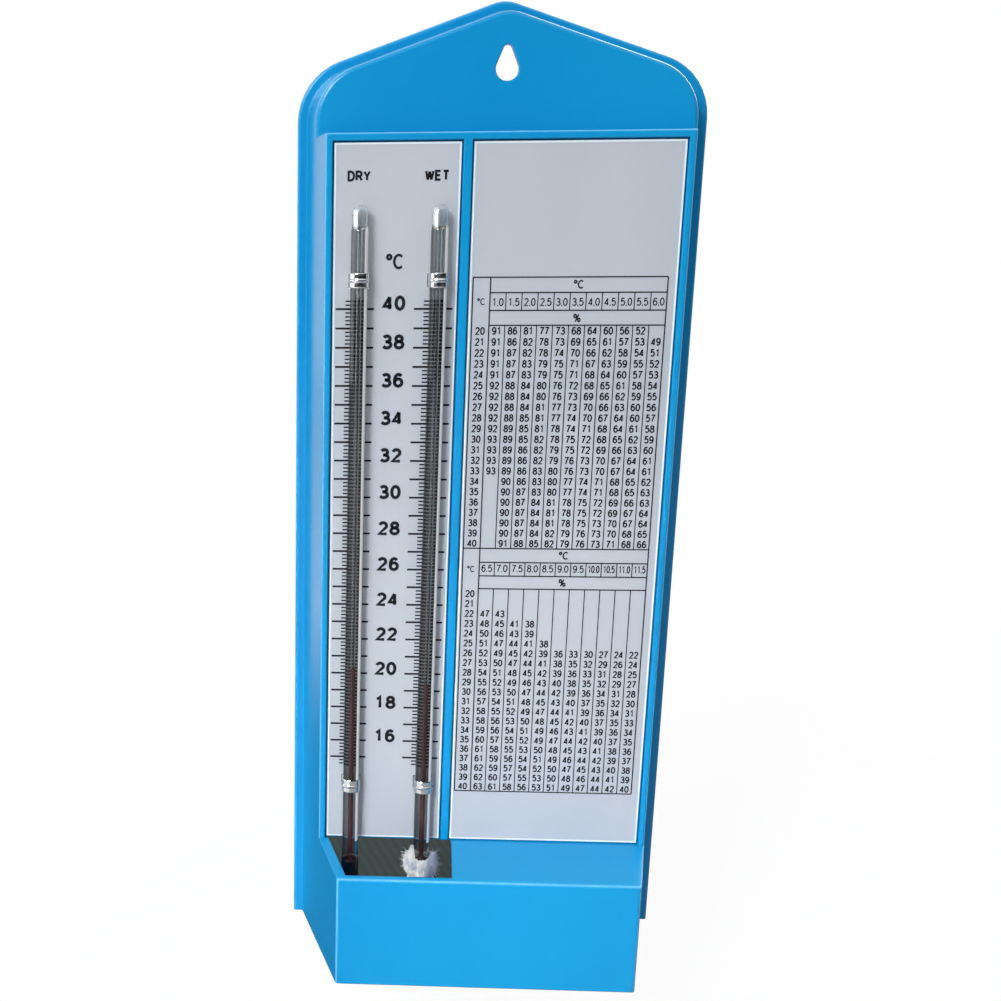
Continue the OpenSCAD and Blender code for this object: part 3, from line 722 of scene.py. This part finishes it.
# %% Tinted glass
def clear_glass(name, axis_x):
    """Glass with painted shade and light, by `across` (-1 and 1 at the stem's left and right
    edge) and z.
    """
    glass = Finish(name, Roughness=0.01, IOR=1.47, Transmission_Weight=1.0)
    x, y, z = glass.parts(glass.place())
    across = (x - axis_x) * (1.0 / stem_r)
    slant = z - abs_of(across) * 0.0016
    stem_end = glass.range(slant, shoulder_z - 0.0006, shoulder_z + 0.0008, 1.0, 0.0)
    # A thinner painted shade leaves a lighter line down the middle of the stem.
    middle = glass.range(abs_of(across + 0.1), 0.04, 0.16, 0.45, 1.0)
    # A grey tint of painted shade, for the plate left dark behind the lens, with a little
    # streaking.
    streak = glass.noise(glass.scaled((900.0, 900.0, 25.0)), 1.0, 2.0)
    painted_shade = glass.ramp(streak, [(0.3, (0.58, 0.61, 0.60)), (0.75, (0.76, 0.79, 0.78))])
    # Deeper painted shade where the ticks lie behind the stem.
    by_ticks = glass.range(z, height_of(40.4), height_of(40.7), 1.0, 0.0)
    by_ticks = by_ticks * glass.range(z, height_of(13.2), height_of(13.8), 0.0, 1.0)
    painted_shade = glass.blend(by_ticks, painted_shade, (0.42, 0.43, 0.44, 1.0))
    # Deepest painted shade at the stem's left edge.
    edge = glass.range(across, -0.95, -0.5, 1.0, 0.0)
    painted_shade = glass.blend(edge, painted_shade, (0.15, 0.16, 0.16, 1.0))
    glass.set(Base_Color=glass.blend(middle * stem_end, (0.93, 0.96, 0.97, 1.0), painted_shade))
    # A painted white strip of light at the stem's right, for the light the lens gathers there.
    from_left = glass.range(across, 0.55, 0.64, 0.0, 1.0)
    to_right = glass.range(across, 0.92, 0.98, 1.0, 0.0)
    over_plate = glass.range(z, plate_low, plate_low + 0.0006, 0.0, 1.0)
    strip = from_left * to_right * over_plate * stem_end * 0.85
    # A painted highlight at the left of the chamber.
    glint = glass.range(abs_of(across + 0.48), 0.12, 0.26, 0.7, 0.0)
    in_chamber = (1.0 - stem_end) * glass.range(z, tip_z - 0.0022, tip_z - 0.0012, 1.0, 0.0)
    gathered = glass.node("ShaderNodeBsdfDiffuse", {}, {"Color": (1.0, 1.0, 1.0, 1.0)})
    glass.mix_in(strip + glint * in_chamber, gathered)
    return glass


# %% Thermometers
outside, inside = glass_profile()
for stem, axis_x in (("dry", dry_x), ("wet", wet_x)):
    glass = clear_glass(stem + "_glass", axis_x)
    shapes = [lathe(outside, axis_x, stem_y), lathe(inside, axis_x, stem_y, 48)]
    mesh_piece(stem + "_stem", shapes, glass.material, "case", [stem + "_tube"])

# %% [markdown]
# The liquid is alcohol with a dark dye. It fills the bulb and stands in the bore as a thin
# thread. The thread is a plain mesh from the foot of the bore to the level, and its top is the
# curved meniscus, a small piece of its own that rides on the level's body.

# %% Dyed liquid
dye = Finish("dyed_liquid", Roughness=0.12, IOR=1.36)
cloudy = dye.noise(dye.scaled((500.0, 500.0, 60.0)), 1.0, 2.0)
thin = dye.ramp(cloudy, [(0.3, rgb(74, 34, 38)), (0.75, rgb(112, 62, 62))])
height = dye.parts(dye.place())[2]
# In the bulb the dye is darker: partly for the depth of liquid there, partly painted shade.
in_bulb = dye.range(height, bulb_top - 0.002, foot_z + 0.004, 1.0, 0.0)
dye.set(Base_Color=dye.blend(in_bulb, thin, (*rgb(40, 14, 20), 1.0)))


# %% Filling of a thermometer
overlap = 0.000004


def liquid(stem, axis_x):
    """Bulb filling, thread and meniscus of one thermometer, a hair wider than the bore."""
    wide = bore_r + overlap
    full = bulb_r - wall + overlap
    bulb = np.concatenate([
        arc(0.0, bulb_low + bulb_r, full, -90, 0, 12),
        slope(full, bulb_top - 0.0015, wide, foot_z, 9),
        [[0.0, foot_z]],
    ])
    mesh_piece(
        stem + "_bulb_liquid", [lathe(bulb, axis_x, stem_y, 48)],
        dye.material, "case", [stem + "_reservoir"],
    )
    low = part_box(stem + "_column")[0].z
    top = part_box(stem + "_meniscus")[0].z
    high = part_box(stem + "_meniscus")[1].z
    straight = np.stack([np.full(60, wide), np.linspace(low, top, 60)], 1)
    thread = np.concatenate([[[0.0, low]], straight, [[0.0, top]]])
    mesh_piece(
        stem + "_thread", [lathe(thread, axis_x, stem_y, 32)], dye.material,
        ("case", stem + "_level", (axis_x, stem_y, low), (axis_x, stem_y, top)),
        [stem + "_column"],
    )
    hollow = arc(0.0, high + wide * 0.05, wide, 0, -90, 8) * [1.0, 0.7] + [0.0, high * 0.3]
    end = np.concatenate([[[0.0, top], [wide, top], [wide, high]], hollow[1:]])
    mesh_piece(
        stem + "_thread_end", [lathe(end, axis_x, stem_y, 32)],
        dye.material, stem + "_level", [stem + "_meniscus"],
    )


for stem, axis_x in (("dry", dry_x), ("wet", wet_x)):
    liquid(stem, axis_x)

# %% [markdown]
# Each stem is held by two straps of bright sheet metal: a half round over the glass with a bead
# pressed into it, and two legs that pass through the plate. The strap is a section carried along
# a path. The section is a thin closed strip with the bead in the middle, and the path goes from
# one leg round the front of the stem to the other.

# %% Bright metal
bright = Finish("bright_strip", Metallic=1.0)
rolled = bright.noise(bright.scaled((60.0, 60.0, 2600.0)), 1.0, 3.0)
dull = bright.noise(bright.place(), 700.0, 3.0)
bright.set(
    Base_Color=bright.ramp(dull, [(0.3, (0.62, 0.63, 0.64)), (0.7, (0.84, 0.85, 0.86))]),
    Roughness=bright.range(dull, 0.3, 0.7, 0.1, 0.24),
    Normal=bright.bump(rolled, 0.000008, 0.4),
)

# %% Straps
strap_thick, tab_long, bead_high, bead_half = 0.00035, 0.0030, 0.0003, 0.00038
leg_steps, arch_steps = 6, 41


def strap_path(bend):
    """Points and outward directions: tab, leg, half circle round the stem, leg, tab."""
    inner = stem_r + 0.00005
    share = np.arange(leg_steps) / leg_steps
    turn = np.radians(np.linspace(180.0, 360.0, arch_steps))
    arch = np.stack([np.cos(turn), np.sin(turn)], 1)
    tab = np.stack([-inner - tab_long * (1 - share), np.full(leg_steps, bend)], 1)
    leg = np.stack([np.full(leg_steps, -inner), bend * (1 - share)], 1)
    path = np.concatenate([tab, leg, inner * arch, leg[::-1] * [-1, 1], tab[::-1] * [-1, 1]])
    left_way, right_way = np.repeat([[[0, 1], [-1, 0]], [[1, 0], [0, 1]]], leg_steps, axis=1)
    return path, np.concatenate([left_way, arch, right_way])


def strap(name, axis_x):
    """Each point is path + outward (depth of the section + bead), the bead on the arch only."""
    low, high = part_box(name)
    half = (high.z - low.z) / 2
    path, outward = strap_path(high.y - stem_y - strap_thick)
    t = np.linspace(-1.0, 1.0, 41)
    bead = bead_high * np.exp(-((t * half / bead_half) ** 4))
    rim = 0.00010 * (1 - smooth_step((1 - np.abs(t)) * half / 0.0002))
    depth = np.concatenate([strap_thick - rim, 0.4 * rim[::-1]])
    lift = np.concatenate([bead, 0 * bead])
    up = np.concatenate([t, t[::-1]]) * half + (low.z + high.z) / 2
    on_arch = np.zeros(len(path))
    from_top = np.abs(np.arange(arch_steps) - arch_steps // 2)
    on_arch[2 * leg_steps : -2 * leg_steps] = np.minimum(1.0, (arch_steps // 2 - from_top) / 3)
    reach = depth + on_arch[:, None] * lift
    x = axis_x + path[:, :1] + outward[:, :1] * reach
    y = stem_y + path[:, 1:] + outward[:, 1:] * reach
    grid = np.stack([x, y, up + 0 * reach], 2)
    here = np.arange(reach.size).reshape(reach.shape)
    quads = ring_faces(here)[:, turned_over]
    mesh_piece(
        name + "_strip", [(grid.reshape(-1, 3), [quads, here[:1], here[-1:, ::-1]])],
        bright.material, "case", [name], 50.0,
    )


for name in ("dry_strap_upper", "dry_strap_lower"):
    strap(name, dry_x)
for name in ("wet_strap_upper", "wet_strap_lower"):
    strap(name, wet_x)

# %% [markdown]
# The wick is a strip of white cotton wrapped round the wet bulb. Thread ties it on the bulb and
# gathers it below into a tail that hangs in the water. Its top is torn and frayed. Cloth that is
# tied this tightly is a surface of folds, so the radius is worked out as a function of height
# and angle: a curve through the ties, less the folds, plus small creases.

# %% White cotton
cotton = Finish("white_cotton", Roughness=0.9, Sheen_Weight=0.35, Sheen_Roughness=0.5)
weave = {"Vector": cotton.place(), "Scale": 620.0, "Distortion": 1.5, "Detail": 1.0}
thread_up = cotton.node("ShaderNodeTexWave", {"bands_direction": "Z"}, weave)
thread_round = cotton.node("ShaderNodeTexWave", {"bands_direction": "X"}, weave)
fluff = cotton.noise(cotton.place(), 1500.0, 5.0, 0.65)
damp = cotton.noise(cotton.place(), 420.0, 4.0)
dry_cotton = cotton.ramp(damp, [(0.35, rgb(178, 188, 200)), (0.6, rgb(238, 239, 232))])
ragged = cotton.parts(cotton.place())[0] + (damp - 0.5) * 0.004
in_shade = cotton.range(ragged, wet_x + 0.0010, wet_x + 0.0022, 0.0, 0.9)
cotton.set(
    Base_Color=cotton.blend(in_shade, dry_cotton, (*rgb(132, 148, 178), 1.0)),
    Normal=cotton.bump((thread_up + thread_round) * 0.3 + fluff * 0.7, 0.0005, 1.0),
)

# %% Creases of the wick
wick_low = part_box("wick")[0].z
wick_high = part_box("wick")[1].z
tie_gap = 0.0013
upper_tie = (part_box("wick_tie_upper")[0].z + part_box("wick_tie_upper")[1].z) / 2
lower_tie = (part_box("wick_tie_lower")[0].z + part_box("wick_tie_lower")[1].z) / 2
print("the wick is", round(1000 * (wick_high - wick_low), 1), "mm long before it is torn")


def crease(a, z, waves, seed):
    """A sum of waves round the sleeve whose phase drifts with height."""
    chance = np.random.default_rng(seed)
    total = 0.0
    for _ in range(waves):
        times = chance.integers(3, 13)
        drift = chance.uniform(-350.0, 350.0)
        lift = chance.uniform(0.3, 1.0)
        total = total + lift * np.cos(times * a + drift * z + chance.uniform(0.0, 6.3))
    return total / waves


# %% Cotton sleeve
def cotton_sleeve():
    """The outside's radius is a line through stations, plus folds where deep, plus creases.

    Towards the top the height is lifted by the torn edge. The inside keeps clear of the glass.
    """
    around = 168
    stations = np.array([
        [wick_low, 0.0012, 0.00], [wick_low + 0.0010, 0.0018, 0.15],
        [lower_tie - tie_gap - 0.0012, 0.0018, 0.15], [lower_tie - tie_gap, 0.00165, 0.0],
        [lower_tie + tie_gap, 0.00165, 0.0], [bulb_low + 0.0006, 0.0034, 0.5],
        [bulb_low + 0.0024, 0.0047, 0.9], [upper_tie - tie_gap, 0.00372, 0.1],
        [upper_tie + tie_gap, 0.00372, 0.1], [upper_tie + tie_gap + 0.0016, 0.0051, 0.9],
        [bulb_top - 0.0012, 0.0057, 1.0], [bulb_top + 0.0006, 0.0053, 1.0],
        [wick_high, 0.0047, 1.0],
    ])
    a = np.linspace(0.0, 2 * np.pi, around, endpoint=False)[None, :]
    z = np.linspace(wick_low, wick_high, 150)[:, None]
    r = np.interp(z, stations[:, 0], stations[:, 1])
    deep = np.interp(z, stations[:, 0], stations[:, 2])
    kernel = np.hanning(7)
    kernel = kernel / kernel.sum()
    padded_r = np.pad(r[:, 0], 3, mode="edge")
    r = np.convolve(padded_r, kernel, mode="valid")[:, None]
    folds = 0.00026 * (np.cos(7 * a + 120 * z) - 1) + 0.00055 * crease(a, z, 5, 3)
    fine = 0.00016 * crease(3 * a, 2 * z, 6, 11) + 0.0001 * crease(7 * a, 5 * z, 6, 13)
    r = r + deep * folds + fine
    torn = 0.0006 * crease(a, 0 * z, 4, 5) + 0.0006 * crease(3 * a, 0 * z, 5, 9) - 0.0016
    for angle, wide, lift in ((222.0, 9.0, 0.0034), (200.0, 26.0, 0.0016), (335.0, 24.0, 0.0018)):
        off = np.degrees(a) - angle
        torn = torn + lift * np.exp(-((off / wide) ** 2))
    share = smooth_step((z - bulb_top + 0.002) / (wick_high - bulb_top + 0.002))
    height = z + share * torn
    outside = np.stack([r * np.cos(a), r * np.sin(a), height], 2)
    glass_z = [bulb_low, bulb_low + 0.001, bulb_low + 0.0028, bulb_top, foot_z + 0.0003]
    glass_r = np.interp(height, glass_z, [0.0004, 0.0022, 0.00288, 0.00288, 0.00262])
    inner_r = np.minimum(glass_r + share * 0.0009, r - 0.0003)
    inside = np.stack([inner_r * np.cos(a), inner_r * np.sin(a), height - share * 0.0002], 2)
    low = np.searchsorted(z[:, 0], bulb_low + 0.0004)
    rings = np.concatenate([outside, inside[:low:-1]])
    rings = rings + [wet_x, stem_y, 0.0]
    here = np.arange(len(rings) * around).reshape(len(rings), around)
    poles = np.array([[wet_x, stem_y, wick_low], [wet_x, stem_y, rings[-1, :, 2].mean()]])
    faces = [ring_faces(here), fan(here[0], here.size)[:, ::-1], fan(here[-1], here.size + 1)]
    points = np.concatenate([rings.reshape(-1, 3), poles])
    side_wall = outside[wick_high - z[:, 0] < 0.007] + [wet_x, stem_y, 0.0]
    return (points, faces), side_wall[-1], side_wall.reshape(-1, 3)


sleeve, rim, side_wall = cotton_sleeve()
wick = mesh_piece("cotton_sleeve", [sleeve], cotton.material, "case", ["wick"])


# %% Thin tubes
def tubes(paths, radius, sides=4):
    """A thin tube along each path: rings across the local direction of the path."""
    ahead = np.gradient(paths, axis=1)
    ahead /= np.linalg.norm(ahead, axis=2, keepdims=True)
    over = np.cross(ahead, [0.3, 0.2, 0.93])
    over /= np.linalg.norm(over, axis=2, keepdims=True)
    under = np.cross(ahead, over)
    b = np.linspace(0.0, 2 * np.pi, sides, endpoint=False)
    fade = np.linspace(1.0, 0.35, paths.shape[1])[None, :, None, None]
    ring = over[:, :, None] * np.cos(b)[:, None] + under[:, :, None] * np.sin(b)[:, None]
    points = paths[:, :, None] + radius * fade * ring
    many, long = paths.shape[:2]
    here = np.arange(many * long * sides).reshape(many, long, sides)
    quads = ring_faces(here.swapaxes(0, 1))
    return points.reshape(-1, 3), [quads, here[:, 0, ::-1], here[:, -1]]


# %% Loose fibres
random = np.random.default_rng(7)


def fibres(roots, length, outwards, stray, sink):
    """Curved paths start + length (way s + curl s^2 + sag s^2) that keep off the stem."""
    count = len(roots)
    outward = roots - [wet_x, stem_y, 0.0]
    outward[:, 2] = 0.0
    outward /= np.linalg.norm(outward, axis=1, keepdims=True)
    way = outward * random.uniform(*outwards, (count, 1)) + random.normal(0.0, stray, (count, 3))
    way[:, 2] = np.abs(way[:, 2]) * 0.8 + random.uniform(-0.3, 0.7, count)
    way /= np.linalg.norm(way, axis=1, keepdims=True)
    along = np.linspace(0.0, 1.0, 5)[None, :, None]
    curl = random.normal(0.0, 0.5, (count, 1, 3)) * along**2
    sag = np.array([0.0, 0.0, -0.35]) * along**2
    start = roots - way * sink + [0.0, 0.0, -sink]
    paths = start[:, None] + length[:, None, None] * (way[:, None] * along + curl + sag)
    far = np.linalg.norm(paths[:, :, :2] - [wet_x, stem_y], axis=2)
    return paths[(far.min(axis=1) > stem_r + 0.0002) & (far.max(axis=1) < 0.0095)]


torn_edge = rim[random.integers(0, len(rim), 300)]
long = random.gamma(2.0, 0.00035, 300) + 0.0004
long[::60] += 0.0016
on_side = side_wall[random.integers(0, len(side_wall), 1500)]
short = random.uniform(0.0004, 0.0010, 1500)
fluffy = [
    tubes(fibres(torn_edge, long, (-0.3, 1.2), 0.45, 0.0005), 0.00007),
    tubes(fibres(on_side, short, (0.3, 1.0), 0.6, 0.0001), 0.00006, 3),
]
fray = mesh_piece("loose_fibres", fluffy, cotton.material, "case")

# %% [markdown]
# The ties are two turns of twisted thread. A twisted thread has a section with two lobes that
# turns as it goes along, and that is how it is made here.

# %% Tying thread
string = Finish("tying_thread", Roughness=0.8, Sheen_Weight=0.2)
hair = string.noise(string.place(), 2500.0, 4.0)
string.set(
    Base_Color=string.ramp(hair, [(0.3, rgb(196, 193, 180)), (0.7, rgb(233, 231, 222))]),
    Normal=string.bump(hair, 0.00005, 0.6),
)


# %% Ties
def tie(name, knot_angle):
    """A two-lobed section turning along a helix round the wick, with its ends run out."""
    low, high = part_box(name)
    thick, rise, turns = 0.00025, 0.001, 2.0
    radius = (high.x - low.x) / 2 - thick
    middle = (low.z + high.z) / 2
    a = np.linspace(-np.pi * turns, np.pi * turns, 241)
    angle = a + knot_angle
    out = np.stack([np.cos(angle), np.sin(angle), 0 * angle], 1)
    climb = np.full(len(a), rise / (2 * np.pi * radius))
    along = np.stack([-np.sin(angle), np.cos(angle), climb], 1)
    along /= np.linalg.norm(along, axis=1, keepdims=True)
    up = np.cross(out, along)
    centre = radius * out + [wet_x, stem_y, middle]
    centre[:, 2] += rise * a / (2 * np.pi)
    b = np.linspace(0.0, 2 * np.pi, 12, endpoint=False)
    twist = (a * radius / 0.0009)[:, None] * np.pi
    size = thick * (0.74 + 0.26 * np.abs(np.cos(b[None, :] - twist)) ** 1.3)
    ring = out[:, None] * np.cos(b)[:, None] + up[:, None] * np.sin(b)[:, None]
    points = centre[:, None] + size[:, :, None] * ring
    here = np.arange(size.size).reshape(size.shape)
    quads = ring_faces(here)[:, turned_over]
    thread_long = turns * math.hypot(2 * np.pi * radius, rise)
    print(name, "is", round(1000 * thread_long, 1), "mm of thread")
    mesh_piece(
        name + "_thread", [(points.reshape(-1, 3), [quads, here[:1], here[-1:, ::-1]])],
        string.material, "case", [name], 60.0,
    )


tie("wick_tie_upper", 0.6)
tie("wick_tie_lower", 0.2)

# %% [markdown]
# Under the shelf lies the glass feeder with its water, held by two fork clips of spring steel.
# Their CAD shapes are right, so they only need their finishes.

# %% Feeder and its water
feeder_glass = Finish("feeder_glass", Roughness=0.02, IOR=1.47, Transmission_Weight=1.0)
swirl = feeder_glass.noise(feeder_glass.place(), 90.0, 2.0)
feeder_glass.set(
    Base_Color=feeder_glass.ramp(swirl, [(0.3, (0.84, 0.92, 0.9)), (0.7, (0.93, 0.97, 0.96))]),
    Normal=feeder_glass.bump(swirl, 0.0002, 0.2),
)
wear("feeder_tube", feeder_glass)

water = Finish("water", Roughness=0.0, IOR=1.33, Transmission_Weight=1.0)
ripple = water.noise(water.place(), 120.0, 2.0)
water.set(
    Base_Color=water.ramp(ripple, [(0.3, (0.86, 0.93, 0.96)), (0.7, (0.93, 0.97, 0.98))]),
    Normal=water.bump(ripple, 0.0001, 0.1),
)
wear("feeder_water", water)


# %% Clips and screws
def steel(name, dark, light, stretch):
    """Drawn steel: fine lines along one direction, with a slightly uneven shine."""
    made = Finish(name, Metallic=1.0)
    lines = made.noise(made.scaled(stretch), 1.0, 4.0)
    cloud = made.noise(made.place(), 300.0, 3.0)
    made.set(
        Base_Color=made.ramp(cloud, [(0.3, dark), (0.7, light)]),
        Roughness=made.range(lines, 0.25, 0.75, 0.2, 0.42),
        Normal=made.bump(lines, 0.00001, 0.5),
    )
    return made


spring = steel("spring_steel", (0.38, 0.39, 0.41), (0.55, 0.56, 0.57), (60.0, 2400.0, 2400.0))
wear("feeder_clip_left", spring)
wear("feeder_clip_right", spring)
zinc = steel("zinc_plated_steel", (0.52, 0.53, 0.5), (0.7, 0.71, 0.68), (1500.0, 1500.0, 200.0))
wear("feeder_clip_screws", zinc)

# %% [markdown]
# The studio is a pale floor that keeps the object's shadow and turns white where the camera sees
# it. The instrument hangs, so the floor is a little lower than its base, which leaves room for
# the feeder to come down. Glossy plastic looks like what it mirrors, so for the light the floor
# is pale in front of the case, at its left and far behind, and dark close behind it. The well
# at the bottom of the case is open at the back and shows a dark felt mat, which is cut so that
# the camera sees it nowhere else: it is first laid out at the height of the base, and then
# enlarged from the camera's eye onto the floor.

# %% Finish of the floor
floor_finish = Finish("pale_floor", Roughness=0.9)
x, y, z = floor_finish.parts(floor_finish.place())
pale, dark = (0.86, 0.86, 0.87, 1.0), (0.006, 0.008, 0.010, 1.0)
in_front = floor_finish.range(y, -0.01, 0.01, 0.4, 0.0)
far_back = floor_finish.range(y, 0.30, 0.55, 0.0, 1.0)
beside = floor_finish.range(x, -0.14, -0.11, 1.0, 0.0)
beside = beside * floor_finish.range(y, 0.02, 0.05, 1.0, 0.0)
at_left = floor_finish.range(x, -0.26, -0.20, 0.35, 0.0)
seen = floor_finish.ray("Is Camera Ray")
lit = largest(in_front, at_left, far_back, beside, seen)
floor_finish.set(Base_Color=floor_finish.blend(lit, dark, pale))
away = floor_finish.node(
    "ShaderNodeVectorMath", {"operation": "LENGTH"}, [floor_finish.place()], "Value",
)
glow = floor_finish.node("ShaderNodeEmission", {}, {"Strength": 1.0})
floor_finish.mix_in(seen * floor_finish.range(away, 0.25, 1.1, 0.9, 1.0), glow)


# %% Floor
def card(name, corners, z, material):
    """A flat shape of the studio, from its corners in X and Y."""
    mesh = bpy.data.meshes.new(name)
    mesh.from_pydata([(x, y, z) for x, y in corners], [], [tuple(range(len(corners)))])
    mesh.materials.append(material)
    made = bpy.data.objects.new(name, mesh)
    scene.collection.objects.link(made)
    print("the", name, "lies at", round(1000 * z, 1), "mm")


drop = 0.045
reach = 3.0
floor_corners = [(-reach, -reach), (reach, -reach), (reach, reach), (-reach, reach)]
card("floor", floor_corners, -drop - 0.0003, floor_finish.material)

# %% Mat
felt = Finish("dark_felt", Roughness=0.95)
lean = {"Vector": felt.place(), "Rotation": (0.0, 0.0, -0.24)}
slant = felt.node("ShaderNodeMapping", {}, lean)
stripe = felt.node("ShaderNodeTexWave", {}, {"Vector": slant, "Scale": 75.0, "Distortion": 2.0})
nap = felt.noise(felt.place(), 900.0, 4.0)
felt.set(
    Base_Color=felt.ramp(stripe, [(0.1, rgb(25, 38, 37)), (0.9, rgb(32, 47, 45))]),
    Normal=felt.bump(nap, 0.0003, 0.5),
)
turn = np.radians(np.arange(0, 360, 15)) + 1e-4
around = np.stack([np.cos(turn), np.sin(turn)], 1)
under_base = np.sign(around) * [0.040, 0.046] + 0.006 * around + [-0.004, 0.042]
eye = np.array(camera.location)
mat = eye[:2] + (under_base - eye[:2]) * (eye[2] + drop) / eye[2]
print("mat in mm:", np.round(1000 * np.ptp(mat, axis=0)), "wide and long")
card("mat", mat.tolist(), -drop, felt.material)

# %% [markdown]
# The world is white for the camera and through glass, and a soft grey for plain light. Only for
# gloss it is bright overhead, behind the object and far to its left, which draws light lines on
# the rounded edges, and dark in front, so that the plates stay clear.

# %% World
world = bpy.data.worlds.new("studio")
scene.world = world
world.use_nodes = True
sky = Graph(world.node_tree)
x, y, z = sky.parts(sky.place("Generated"))
mirrored = sky.ray("Is Glossy Ray")
overhead = sky.range(z, 0.45, 0.9, 0.0, 1.3)
behind = sky.range(y, -0.2, 0.5, 0.0, 0.9)
at_left = sky.range(x, -0.95, -0.80, 2.4, 0.0)
white = largest(sky.ray("Is Camera Ray"), sky.ray("Is Transmission Ray"))
soft = (1.0 - mirrored) * sky.range(z, 0.0, 1.0, 0.28, 0.85)
backdrop = world.node_tree.nodes["Background"].inputs
sky.put(backdrop["Color"], (1.0, 1.0, 1.0, 1.0))
shine = mirrored * largest(overhead, behind, at_left)
sky.put(backdrop["Strength"], largest(white, soft, shine))
print("the world is made of", len(world.node_tree.nodes), "nodes")

# %% [markdown]
# A large soft lamp high in front and to the left models the case and throws the soft shadow of
# each stem to the right. A small narrow lamp, low in front, lifts the foot of the plates, where
# the shelf hides the floor's light. A weak lamp behind gives the gable and the back some light.

# %% Lamps
def softbox(name, place, aim, width, height, power):
    """A rectangular lamp that looks at a point."""
    light = bpy.data.lights.new(name, "AREA")
    light.shape = "RECTANGLE"
    light.size = width
    light.size_y = height
    light.energy = power
    lamp = bpy.data.objects.new(name, light)
    lamp.location = place
    way = Vector(aim) - Vector(place)
    lamp.rotation_euler = way.to_track_quat("-Z", "Y").to_euler()
    scene.collection.objects.link(lamp)
    print(name, "lamp of", power, "W,", round(way.length, 2), "m from what it lights")
    return lamp


softbox("key", (-1.25, -1.82, 1.50), (0.0, 0.0, 0.12), 0.90, 0.90, 47.0)
low = softbox("low", (-0.60, -1.30, 0.75), (0.0, 0.0, 0.03), 0.15, 0.15, 0.095)
low.data.spread = math.radians(14.0)
softbox("back", (0.60, 1.10, 0.80), (0.0, 0.0, 0.12), 0.60, 0.60, 4.0)
